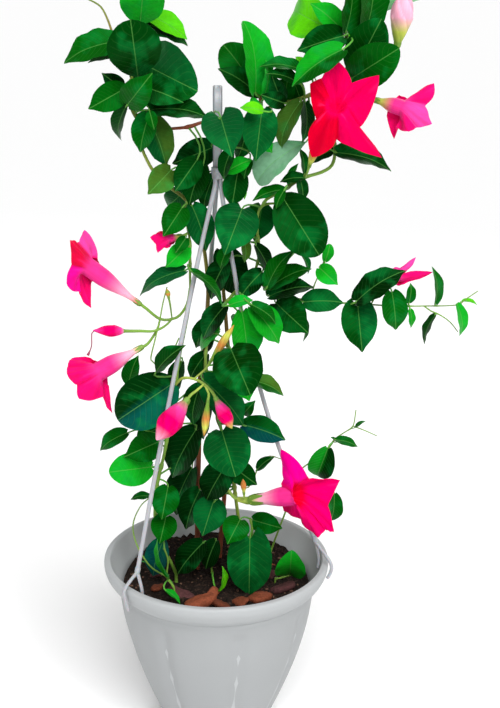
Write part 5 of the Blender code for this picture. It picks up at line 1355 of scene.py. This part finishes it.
def stem_routes(shoot, step):
    """Each stem of a shoot as a smooth route with its radii; the main one goes down into its hole."""
    routes = []
    for k, stem in enumerate(shoot.stems):
        points = under_flower([sight(*place) for place in stem.places])
        if k > 0:
            joint, thick, _ = nearest_on(routes, points[0])
            points[0] = joint + unit(joint - points[1]) * thick * SUNK
        if k == 0 and shoot.root:
            x, y = shoot.root
            points = [np.array((x, y, SOIL_Z - HOLE_DEPTH)), np.array((x, y, SOIL_Z + 0.010))] + points
        route = smooth_route(points, step)
        if k == 0 and shoot.root:
            buried = route[:, 2] < SOIL_Z + 0.0101
            route[buried, :2] = shoot.root
        radii = np.linspace(stem.thick, stem.thin, len(route)) * MM
        routes.append((route, radii))
    return routes


def lie_of(leaf):
    """A leaf on the pane as a blade in space.

    A leaf that looks too broad for its length leans towards the eye, or away from it behind the
    plant's middle. One that looks too narrow is turned about its midrib, its face upward.
    """
    base, tip = sight(*leaf.base, leaf.depth), sight(*leaf.tip, leaf.depth)
    scale = np.linalg.norm(base - EYE) / PANE_DISTANCE * MM
    width = leaf.width * scale
    length = np.linalg.norm(tip - base)
    ratio = width / length
    turn = 0.0
    if ratio > USUAL_BREADTH:
        breadth = USUAL_BREADTH + 0.35 * (ratio - USUAL_BREADTH)
        lean = math.sqrt((ratio / breadth) ** 2 - 1) * length
        tip = pushed(tip, -lean if leaf.depth < 8 else lean)
    else:
        breadth = ratio + 0.5 * (USUAL_BREADTH - ratio)
        turn = math.acos(ratio / breadth)
        width = breadth * length
    axis = unit(tip - base)
    to_eye = unit(EYE - base)
    face = unit(to_eye - axis * to_eye.dot(axis))
    side = np.cross(axis, face)
    faces = [face * math.cos(turn) + side * math.sin(turn), face * math.cos(turn) - side * math.sin(turn)]
    outward = np.array((0.3 if leaf.base[0] > AXIS_U else -0.3, 0.0, 1.0))
    return Blade(base, tip, width, max(faces, key=lambda f: f.dot(outward)), leaf.form)


def partner_of(blade):
    """The other leaf of the pair: from the same joint back from the eye, nearly hidden by the first."""
    axis = blade.tip - blade.base
    length = np.linalg.norm(axis)
    away = unit(blade.base - EYE)
    base = pushed(blade.base + axis * 0.12, 0.010)
    tip = base + axis * 0.42 + away * length * 0.92
    along = unit(tip - base)
    look = np.array((0.0, 0.5, 1.0))
    face = unit(look - along * look.dot(along))
    return Blade(base, tip, 0.80 * blade.width, face, OVAL)


def nudges():
    """How a leaf may be moved to clear its neighbours, the least first: (push, lean) in metres."""
    pushes = [0] + [sign * 0.003 * k for k in range(1, 17) for sign in (1, -1)]
    leans = [0, 0.006, -0.006, 0.013, -0.013, 0.021, -0.021]
    return sorted(((p, q) for p in pushes for q in leans), key=lambda n: abs(n[0]) + 0.9 * abs(n[1]))


NUDGES = nudges()


class Obstacle(NamedTuple):
    """A solid to keep clear of: its owner, its box and its search tree."""
    owner: str
    low: np.ndarray
    high: np.ndarray
    tree: BVHTree


def obstacle(owner, solid):
    """An obstacle from points and faces."""
    points, faces = solid
    array = np.array([tuple(p) for p in points])
    tree = BVHTree.FromPolygons([tuple(p) for p in array], [tuple(f) for f in faces])
    return Obstacle(owner, array.min(axis=0), array.max(axis=0), tree)


def crosses(one, others):
    """Whether an obstacle crosses any of the others."""
    return any((one.low < other.high).all() and (other.low < one.high).all() and one.tree.overlap(other.tree)
               for other in others)


def settle(name, blade, routes, placed):
    """Find the blade's least nudge that clears all that is placed, and its joint on the stem."""
    for push, lean in NUDGES:
        base, tip = pushed(blade.base, push), pushed(blade.tip, push + lean)
        axis = unit(tip - base)
        moved = blade._replace(base=base, tip=tip, face=unit(blade.face - axis * blade.face.dot(axis)))
        joint, _, _ = nearest_on(routes, moved.base - axis * PETIOLE_REACH)
        near_base = moved.base + unit(joint - moved.base) * PETIOLE_RADIUS
        body = obstacle(name + " blade", leaf_room(moved, near_base, CLEAR_THICKNESS, PETIOLE_RADIUS + GAP))
        stalk = obstacle(name, loft(tube(np.array((joint, moved.base)), PETIOLE_RADIUS + GAP, 3)))
        if not crosses(body, placed) and not crosses(stalk, [o for o in placed if o.owner != name]):
            return moved, joint, (body, stalk)
    return None


class Grown(NamedTuple):
    """A leaf in its settled place, the joint on its stem, and its look."""
    blade: Blade
    joint: np.ndarray
    look: str


def lay_out():
    """Each shoot's leaves in their settled places, clear of the pot, hanger, flowers and each other."""
    placed = []
    for name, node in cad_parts.items():
        if name not in SHOOTS:
            faces = [tuple(face.vertices) for face in node.data.polygons]
            placed.append(obstacle(name, ([tuple(vert.co) for vert in node.data.vertices], faces)))
    stems = {name: stem_routes(shoot, STEM_STEP) for name, shoot in SHOOTS.items()}
    for name, routes in stems.items():
        for route, radii in routes:
            placed.append(obstacle(name, loft(tube(route, radii + GAP, 5))))
    leaves = {name: [] for name in SHOOTS}
    for partners in (False, True):
        for name, shoot in SHOOTS.items():
            for leaf in shoot.leaves:
                if partners and not leaf.paired:
                    continue
                blade = partner_of(lie_of(leaf)) if partners else lie_of(leaf)
                found = settle(name, blade, stems[name], placed)
                if found:
                    blade, joint, bodies = found
                    leaves[name].append(Grown(blade, joint, leaf.look))
                    placed.extend(bodies)
    return leaves


# Foliage
def leaf_rings(blade, joint, sizes, draw):
    """A leaf as rings: round its stalk, and on round its blade.

    The stalk runs along a quadratic curve that meets the midrib's direction. The blade's half width is a
    power of the share s along the midrib times a power of what is left of it, and is drawn in near the
    tip to a short point. Its height is an arch in s, a fold in the distance q across, waves that grow with
    the cube of q, a twist, and a tip that curls down. A ring goes across the upper face and back below,
    where a rib stands out under the midrib.
    """
    axis = blade.tip - blade.base
    length = np.linalg.norm(axis)
    side = unit(np.cross(axis, blade.face))
    grown = length > SMALL_LEAF
    columns, rows = (9, 16) if grown else (5, 8)
    s = 0.5 - 0.5 * np.cos(math.pi * np.linspace(0.07, 1.0, rows))[:, None]
    q = np.linspace(-1.0, 1.0, columns)[None, :]
    pointed = 1.0 if blade.form[1] > ROUND[1] else 0.15
    drip = 1 - 0.45 * pointed * smooth_step((s - TIP_START) / 0.15)
    half = blade.width / 2 * half_width(s, blade.form) * drip
    back = blade.form[2] * length * np.abs(q) ** 1.5 * (1 - s) ** 4
    slope = FOLD * draw.uniform(0.7, 2.0)
    fold = (np.sqrt(q * q + 0.02) - math.sqrt(0.02)) * half * math.sin(slope)
    phase = draw.uniform(0, math.tau)
    waves = 1.3 + length / WAVE_LENGTH
    swing = math.tau * waves * s + phase + 1.2 * np.sign(q)
    wave = sizes.leaf_wave * draw.uniform(0.5, 1.6) * half * np.abs(q) ** 3 * np.sin(swing)
    curl = draw.uniform(0.02, 0.12) * length * (np.clip(s - 0.6, 0.0, 1.0) / 0.4) ** 2
    twist = draw.uniform(-0.25, 0.25) * (s - 0.3) * q * half
    lift = ARCH * length * 4 * s * (1 - s) + fold + wave - curl + twist
    reach = s + 0.045 * pointed * smooth_step((s - TIP_START) / 0.20)
    middle = blade.base + axis * reach[:, :, None] - unit(axis) * back[:, :, None]
    middle = middle + side * (q * half * math.cos(0.6 * slope))[:, :, None] + blade.face * lift[:, :, None]
    slab = sizes.blade_thickness * (0.35 + 0.65 * (1 - q * q)) * np.minimum(1.0, 0.15 + 10 * (1 - s))
    rib = sizes.rib_height * np.exp(-(q * half / RIB_WIDTH) ** 2) * (1 - 0.8 * s)
    upper = middle + blade.face * (slab / 2)[:, :, None]
    lower = middle - blade.face * (slab / 2 + rib)[:, :, None]
    blade_rings = np.concatenate((upper, lower[:, ::-1]), axis=1)
    t = np.linspace(0.0, 1.0, 5)[:, None]
    bend = blade.base - unit(axis) * 0.45 * np.linalg.norm(blade.base - joint)
    centre = joint * (1 - t) ** 2 + bend * 2 * t * (1 - t) + blade.base * t * t
    along = units(2 * (1 - t) * (bend - joint) + 2 * t * (blade.base - bend))
    across = units(side - along * (along @ side)[:, None])
    up = np.cross(across, along)
    angle = math.pi - (np.arange(2 * columns) + 0.5) * math.pi / columns
    radius = (PETIOLE_RADIUS if grown else 0.6 * PETIOLE_RADIUS) * (1.15 - 0.25 * t[:, :, None])
    rings = np.concatenate((centre[:, None] + radius * spokes_at(angle, across, up), blade_rings))
    return rings, s, q, half, len(t)


def leaf_tones(look, side, s, q, greens, draw):
    """The tone of a blade's upper and lower faces: each seen half has its own green, paler below."""
    handed = 1.0 if side.dot(RIGHTWARD) > 0 else -1.0
    # Painted light and shade: a folded leaf's two seen halves get greens of their own.
    share = smooth_step(0.5 + 4.0 * q * handed)[:, :, None]
    green = greens[look[0]] * (1 - share) + greens[look[-1]] * share
    green = green * draw.uniform(0.85, 1.18) * (draw.uniform(0.9, 1.15), 1.0, draw.uniform(0.85, 1.15))
    upper = green * (0.92 + 0.16 * s)[:, :, None]
    lower = 0.45 * upper + 0.55 * greens["u"]
    return np.concatenate((with_alpha(upper), with_alpha(lower, 0.0)[:, ::-1]), axis=1)


def add_leaf(piece, grown, routes, greens, young, sizes, draw):
    """Put one leaf into a piece, its stalk starting inside its stem."""
    joint, _, _ = nearest_on(routes, grown.joint)
    rings, s, q, half, stalk = leaf_rings(grown.blade, joint, sizes, draw)
    side = np.cross(grown.blade.tip - grown.blade.base, grown.blade.face)
    blade_tones = leaf_tones(grown.look, side, s, q, greens, draw)
    stalk_tone = with_alpha(0.5 * young + 0.5 * greens[grown.look[0]], 0.6)
    stalk_tones = np.broadcast_to(stalk_tone, (stalk, rings.shape[1], 4))
    blade_places = places_of(s, np.concatenate((q, q[:, ::-1]), axis=1), half * 1000)
    places = np.concatenate((np.zeros((stalk, rings.shape[1], 3)), blade_places))
    piece.add(rings, np.concatenate((stalk_tones, blade_tones)), places)


def add_stem(piece, route, radii, joints, bark, draw):
    """Put one stem into a piece: a tube that swells at each leaf joint by a bell curve of the distance."""
    run = np.append(0.0, np.cumsum(np.linalg.norm(np.diff(route, axis=0), axis=1)))
    swell = np.zeros(len(route))
    for joint in joints:
        swell += 0.5 * np.exp(-(np.linalg.norm(route - joint, axis=1) / JOINT_WIDTH) ** 2)
    woody = np.minimum(bark * (1 - 0.75 * smooth_step(run / run[-1] * 1.3 - 0.2)), 1.0)
    rough = np.maximum(woody, 0.0)
    rings = tube(route, radii * (1 + np.minimum(swell, 0.6)) * (1 + 0.2 * rough), STEM_SIDES)
    woody, run = abs(woody[:, None]), run[:, None]
    older = np.array(chosen("bark" if bark > 0 else "calyx_yellow"))
    colour = np.array(chosen("young_green")) * (1 - woody) + older * woody
    colour = colour * (1 + 0.18 * np.sin(run * 90 + draw.uniform(0, 6)))
    around = np.abs(np.arange(STEM_SIDES) / STEM_SIDES * 2 - 1)
    piece.add(rings, with_alpha(colour)[:, None], places_of(run * 1000, around, rough[:, None]), 1)


def make_foliage(sizes):
    """Every leafy stem and flower stalk as a piece of its own."""
    greens, young = palette(LEAF_GREENS), np.array(chosen("young_green"))
    finishes = [leaf_finish(), stem_finish()]
    for number, (name, leaves) in enumerate(lay_out().items()):
        shoot = SHOOTS[name]
        draw = np.random.default_rng(FIRST_SEED + number)
        routes = stem_routes(shoot, FINE_STEP)
        joints = [grown.joint for grown in leaves]
        piece = Piece()
        for route, radii in routes:
            add_stem(piece, route, radii, joints, shoot.bark, draw)
        for grown in leaves:
            add_leaf(piece, grown, routes, greens, young, sizes, draw)
        stand_for(piece.finished(f"{name}_grown", finishes, 60.0), name)


# Flowers
def tube_radius(bloom, share):
    """A corolla tube's radius in metres: a neck at its foot, then a bell that opens to the mouth."""
    opened = smooth_step((share - 0.12) / 0.60) * 0.80 + 0.20 * share
    return (bloom.neck + (bloom.throat - bloom.neck) * opened) * MM


def lobe_edge(bloom, steps):
    """The corolla's edge: out from each notch to the lobe's tip and back, each side with its own swell."""
    mouth = sight(*bloom.mouth)
    depth = bloom.mouth[2]
    tips = [sight(u, v, depth + behind) for (u, v, behind), _, _ in bloom.lobes]
    notches = []
    for k, lobe in enumerate(bloom.lobes):
        following = bloom.lobes[(k + 1) % len(bloom.lobes)]
        notches.append(sight(*lobe.notch, depth + NOTCH_LAG * (lobe.tip[2] + following.tip[2])))
    edge = []
    t = np.arange(steps)[:, None] / steps
    for k, lobe in enumerate(bloom.lobes):
        corners = (notches[k - 1], tips[k], notches[k])
        for start, end, swell in zip(corners, corners[1:], lobe.swell):
            run = end - start
            middle = (start + end) / 2 - mouth
            outward = unit(middle - run * middle.dot(run) / run.dot(run)) * np.linalg.norm(run)
            edge.append(start + run * t + outward * swell * 4 * t * (1 - t))
    return np.concatenate(edge)


def spokes(edge, middle, axis):
    """Even directions square to the axis, as many as the edge has points, turned to follow it round."""
    first = unit(np.cross(axis, UPWARD))
    second = np.cross(axis, first)
    seen = np.arctan2((edge - middle) @ second, (edge - middle) @ first)
    way = np.sign(np.sin(np.roll(seen, -1) - seen).sum())
    even = way * round_angles(len(edge))
    even += np.angle(np.exp(1j * (seen - even)).sum())
    return np.outer(np.cos(even), first) + np.outer(np.sin(even), second)


def corolla_surface(bloom, steps, tube_shares, limb_shares):
    """A corolla as a grid of points, up its tube and out over its lobes, and the grid's inward normals.

    The limb is a quadratic curve for each point of the edge, from the mouth by a bend outward to the edge.
    """
    foot, mouth = sight(*bloom.foot), sight(*bloom.mouth)
    axis = unit(mouth - foot)
    throat = bloom.throat * MM
    edge = lobe_edge(bloom, steps)
    radial = spokes(edge, mouth, axis)
    rows = [foot + (mouth - foot) * share + radial * tube_radius(bloom, share) for share in tube_shares]
    start = rows[-1]
    bend = start + axis * throat * 0.45 + radial * throat * 0.35
    rows += [start * (1 - g) ** 2 + bend * 2 * g * (1 - g) + edge * g * g for g in limb_shares]
    grid = np.array(rows)
    normals = units(np.cross(np.roll(grid, -1, axis=1) - np.roll(grid, 1, axis=1), np.gradient(grid, axis=0)))
    if (normals[0] * radial).sum() > 0:
        normals = -normals
    return grid, normals


def add_calyx(piece, foot, axis, radius, colour):
    """A green cup with five pointed sepals: the height of its edge is a power of the cosine round it."""
    angles = round_angles(CALYX_SIDES)
    spoke = spokes_at(angles, *carried_frames(np.array((foot, foot + axis))))[0]
    point = radius * (0.5 + 2.6 * np.abs(np.cos(PETALS / 2 * angles)) ** 2.2)
    share = np.linspace(0.0, 1.0, 5)[:, None, None]
    flare = radius * (0.75 + 0.40 * np.sqrt(share))
    outside = foot - axis * radius * 0.6 + axis * share * (point[:, None] + radius * 0.6) + spoke * flare
    inside = outside - spoke * CALYX_WALL
    piece.add(np.concatenate((outside, inside[::-1])), with_alpha(colour), slot=1)


def bloom_tones(bloom, across, lobe, pinks):
    """The tones of a flower's outside, from its neck to its edge, and of its inside, from its throat."""
    tube_share = np.linspace(0.0, 1.0, TUBE_ROWS)[:, None]
    limb_share = np.linspace(0.0, 1.0, LIMB_ROWS + 1)[1:, None, None]
    edge_colour = np.array([pinks[letter] for letter in bloom.petals])[lobe]
    neck, body, throat = (pinks[letter] for letter in bloom.tints)
    pale_edge = edge_colour.mean(axis=0) * 0.45 + pinks["l"] * 0.55
    body = neck + (body - neck) * smooth_step(tube_share * 4)
    body = body + (pale_edge - body) * smooth_step((tube_share - 0.20) / 0.50)
    back = 0.92 * edge_colour + 0.08 * pinks["l"]
    turning = smooth_step(limb_share * 1.6)
    in_tube = (TUBE_ROWS, len(across), 3)
    outside = (np.broadcast_to(body[:, None], in_tube), body[-1] * (1 - turning) + back * turning)
    deep = smooth_step(limb_share * 2.2 - 0.05)
    # Painted shade along the crease in the middle of each lobe.
    shade = 1 - 0.25 * np.exp(-((across - 0.5) / 0.12) ** 2)
    front = edge_colour * shade[:, None]
    inside = (np.broadcast_to(throat, in_tube), throat * (1 - deep) + front * deep)
    return np.concatenate(outside), np.concatenate(inside)


def add_bloom(piece, bloom, sizes, pinks):
    """Put one open flower into a piece: a thin shell that is closed at its foot and deep in its throat.

    Each lobe has a crease along its middle, and overlaps the next like the vanes of a pinwheel: its
    offset grows evenly across it. Ripples grow with the square of the distance out.
    """
    steps = 9 if bloom.throat > 6 else 5
    tube_share = np.linspace(0.0, 1.0, TUBE_ROWS)
    limb_share = np.linspace(0.0, 1.0, LIMB_ROWS + 1)[1:]
    grid, normals = corolla_surface(bloom, steps, tube_share, limb_share)
    column = np.arange(grid.shape[1])
    g = np.concatenate((np.zeros(TUBE_ROWS), limb_share))[:, None]
    across = (column + 0.5) / (2 * steps) % 1.0
    size = bloom.throat * MM
    vane = (across - 0.5) * 0.16 * size * 4 * g * (1 - 0.6 * g)
    crease = -0.05 * size * np.exp(-((across - 0.5) / 0.09) ** 2) * 4 * g * (1 - g)
    ripple = 0.07 * size * g * g * np.sin(math.tau * (2.2 * across + 0.31 * column / steps))
    grid = grid + normals * (vane + crease + ripple)[:, :, None]
    inner = grid[THROAT_ROW:] + normals[THROAT_ROW:] * sizes.petal_thickness
    foot, mouth = sight(*bloom.foot), sight(*bloom.mouth)
    funnel = tube_share[THROAT_ROW:, None, None]
    closed = 1 - 0.85 * smooth_step((1.0 - funnel) / (1.0 - tube_share[THROAT_ROW]))
    folds = 1 - 0.30 * (1 - closed) * np.cos(math.tau * across)[None, :, None]
    middle = foot + (mouth - foot) * funnel
    throat = inner[:len(funnel)]
    throat[:] = middle + (throat - middle) * closed * folds
    lobe = column // (2 * steps)
    outside, inside = bloom_tones(bloom, across, lobe, pinks)
    tones = with_alpha(np.concatenate((outside, inside[THROAT_ROW:][::-1])))
    out = np.concatenate((g, g[THROAT_ROW:][::-1]))
    piece.add(np.concatenate((grid, inner[::-1])), tones, places_of(out, across + lobe * 1.7, 0.0))
    add_calyx(piece, foot, unit(mouth - foot), bloom.neck * MM * 1.1, pinks["g"])


def add_bud(piece, bud, pinks):
    """Put one bud into a piece: a spindle whose overlapped petals wind round it.

    Its radius is a smooth profile along it times one plus a saw tooth in the angle and the distance along.
    """
    foot, tip = sight(*bud.foot), sight(*bud.tip)
    s, girth = smooth_route(BUD_PROFILE, 0.05).T[:, :, None]
    angles = round_angles(BUD_SIDES)
    spoke = spokes_at(angles, *carried_frames(np.array((foot, tip))))[0]
    tooth = (PETALS * (angles / math.tau + 0.55 * s)) % 1.0
    furrow = 1 + 0.13 * (tooth - 0.6) * smooth_step((s - 0.25) / 0.3)
    radius = bud.width * MM / 2 * girth * furrow
    reach = s ** (math.log(bud.belly) / math.log(0.5))
    rings = foot + (tip - foot) * reach[:, :, None] + spoke * radius[:, :, None]
    stops = np.array([pinks[letter] for letter in bud.tints])
    where = np.linspace(0.0, 1.0, len(stops))
    colour = np.stack([np.interp(s, where, stop) for stop in stops.T], axis=-1)
    # Painted shade and highlight: each wound petal is darker where it sinks under the next and lighter at its
    # raised edge.
    tones = with_alpha(colour * (0.80 + 0.28 * tooth)[:, :, None])
    piece.add(rings, tones, places_of(s, np.abs(angles / math.tau * 2 - 1), 0.0))
    add_calyx(piece, foot, unit(tip - foot), bud.width * MM * 0.13 + 0.0006, pinks["g"])
    if bud.thread:
        route = smooth_route([sight(*place) for place in bud.thread], 0.002)
        radii = np.concatenate((np.full(len(route) - 3, 0.0006), (0.0008, 0.0012, 0.0016)))
        piece.add(tube(route, radii, 10), with_alpha(THREAD_COLOUR))


def make_flowers(sizes):
    """Every bloom and bud as a piece of its own."""
    pinks = palette(PETAL_PINKS)
    finishes = [petal_finish(), stem_finish()]
    for name, bloom in BLOOMS.items():
        piece = Piece()
        add_bloom(piece, bloom, sizes, pinks)
        stand_for(piece.finished(f"{name}_corolla", finishes, 70.0), name)
    slots = {"bud_top_pale": "pale_petals", **dict.fromkeys(GREEN_BUDS, "green_bud")}
    for name, bud in BUDS.items():
        piece = Piece()
        add_bud(piece, bud, pinks)
        stand_for(piece.finished(f"{name}_furled", finishes, 45.0), name)


# Studio
def look_at(made, target):
    """Turn a lamp towards a point."""
    from_here = np.array(target) - np.array(made.location)
    made.rotation_euler = (math.acos(from_here[2] / np.linalg.norm(from_here)) - math.pi,
                           0.0, math.atan2(from_here[1], from_here[0]) + math.pi / 2)


def make_sky():
    """White light from all round, strong up to a little above the horizon and weak from overhead."""
    world = bpy.data.worlds.new("studio")
    world.use_nodes = True
    nodes, links = world.node_tree.nodes, world.node_tree.links
    sky = nodes["Background"]
    sky.inputs["Color"].default_value = WHITE
    direction = nodes.new("ShaderNodeTexCoord")
    height = nodes.new("ShaderNodeSeparateXYZ")
    fall = nodes.new("ShaderNodeMapRange")
    fall.interpolation_type = "SMOOTHSTEP"
    for socket, value in SKY_FALL.items():
        fall.inputs[socket].default_value = value
    links.new(direction.outputs["Generated"], height.inputs[0])
    links.new(height.outputs["Z"], fall.inputs["Value"])
    links.new(fall.outputs["Result"], sky.inputs["Strength"])
    bpy.context.scene.world = world


def make_studio():
    """A pale floor, soft lamps and the camera at the photograph's angle."""
    floor = Piece()
    floor.add(round_profile(FLOOR_PROFILE, FLOOR_SIDES))
    floor.finished("studio_floor", [floor_finish()])
    make_sky()
    for name, kind, place, size, power in LAMPS:
        lamp = bpy.data.lights.new(name, kind)
        lamp.energy = power
        setattr(lamp, "angle" if kind == "SUN" else "size", size)
        look_at(put(name, lamp, place), LIT_POINT)
    camera = bpy.data.cameras.new("camera")
    camera.sensor_fit = "VERTICAL"
    camera.sensor_width = camera.sensor_height = SENSOR
    camera.lens = SENSOR * PANE_DISTANCE / MM / PANE_HEIGHT
    camera.shift_x = (PANE_WIDTH / 2 - AXIS_U) / PANE_HEIGHT
    made = put("camera", camera, EYE)
    made.rotation_euler = (math.pi / 2 - PITCH, 0.0, 0.0)
    bpy.context.scene.camera = made
    bpy.context.scene.view_settings.view_transform = "Standard"


# Operators and panel
class MANDEVILLA_OT_pot(bpy.types.Operator):
    """Turn the moulded pot with its panels."""
    bl_idname = "mandevilla.pot"
    bl_label = "Pot"

    def execute(self, context):
        make_pot(context.scene.mandevilla_sizes)
        return {"FINISHED"}


class MANDEVILLA_OT_potting_mix(bpy.types.Operator):
    """Fill the pot with mix, chips and crumbs."""
    bl_idname = "mandevilla.potting_mix"
    bl_label = "Potting mix"

    def execute(self, context):
        make_potting_mix(context.scene.mandevilla_sizes)
        return {"FINISHED"}


class MANDEVILLA_OT_hanger(bpy.types.Operator):
    """Mould the hanger's hook, hub and three arms."""
    bl_idname = "mandevilla.hanger"
    bl_label = "Hanger"

    def execute(self, context):
        make_hanger(context.scene.mandevilla_sizes)
        return {"FINISHED"}


class MANDEVILLA_OT_foliage(bpy.types.Operator):
    """Grow the stems, stalks and leaves."""
    bl_idname = "mandevilla.foliage"
    bl_label = "Stems and leaves"

    def execute(self, context):
        make_foliage(context.scene.mandevilla_sizes)
        return {"FINISHED"}


class MANDEVILLA_OT_flowers(bpy.types.Operator):
    """Open the blooms and furl the buds."""
    bl_idname = "mandevilla.flowers"
    bl_label = "Blooms and buds"

    def execute(self, context):
        make_flowers(context.scene.mandevilla_sizes)
        return {"FINISHED"}


class MANDEVILLA_OT_studio(bpy.types.Operator):
    """Set the floor, the lamps and the camera."""
    bl_idname = "mandevilla.studio"
    bl_label = "Studio"

    def execute(self, context):
        make_studio()
        return {"FINISHED"}


OPERATORS = (MANDEVILLA_OT_pot, MANDEVILLA_OT_potting_mix, MANDEVILLA_OT_hanger, MANDEVILLA_OT_foliage,
             MANDEVILLA_OT_flowers, MANDEVILLA_OT_studio)


class MANDEVILLA_PT_panel(bpy.types.Panel):
    """The steps of the build, with their sizes and colours."""
    bl_idname = "MANDEVILLA_PT_panel"
    bl_label = "Potted mandevilla"
    bl_space_type = "VIEW_3D"
    bl_region_type = "UI"
    bl_category = "Mandevilla"

    def draw(self, context):
        for operator in OPERATORS:
            self.layout.operator(operator.bl_idname)
        for settings in (context.scene.mandevilla_sizes, context.scene.mandevilla_colours):
            box = self.layout.box()
            for name in settings.__annotations__:
                box.prop(settings, name)


CLASSES = (MandevillaSizes, MandevillaColours, *OPERATORS, MANDEVILLA_PT_panel)


def register():
    """Add the classes and their settings to Blender."""
    for kind in CLASSES:
        bpy.utils.register_class(kind)
    bpy.types.Scene.mandevilla_sizes = bpy.props.PointerProperty(type=MandevillaSizes)
    bpy.types.Scene.mandevilla_colours = bpy.props.PointerProperty(type=MandevillaColours)


def unregister():
    """Take them out again."""
    del bpy.types.Scene.mandevilla_colours
    del bpy.types.Scene.mandevilla_sizes
    for kind in reversed(CLASSES):
        bpy.utils.unregister_class(kind)


def main():
    """Build everything."""
    register()
    bpy.ops.mandevilla.pot()
    bpy.ops.mandevilla.potting_mix()
    bpy.ops.mandevilla.hanger()
    bpy.ops.mandevilla.foliage()
    bpy.ops.mandevilla.flowers()
    bpy.ops.mandevilla.studio()


if __name__ == "__main__":
    main()
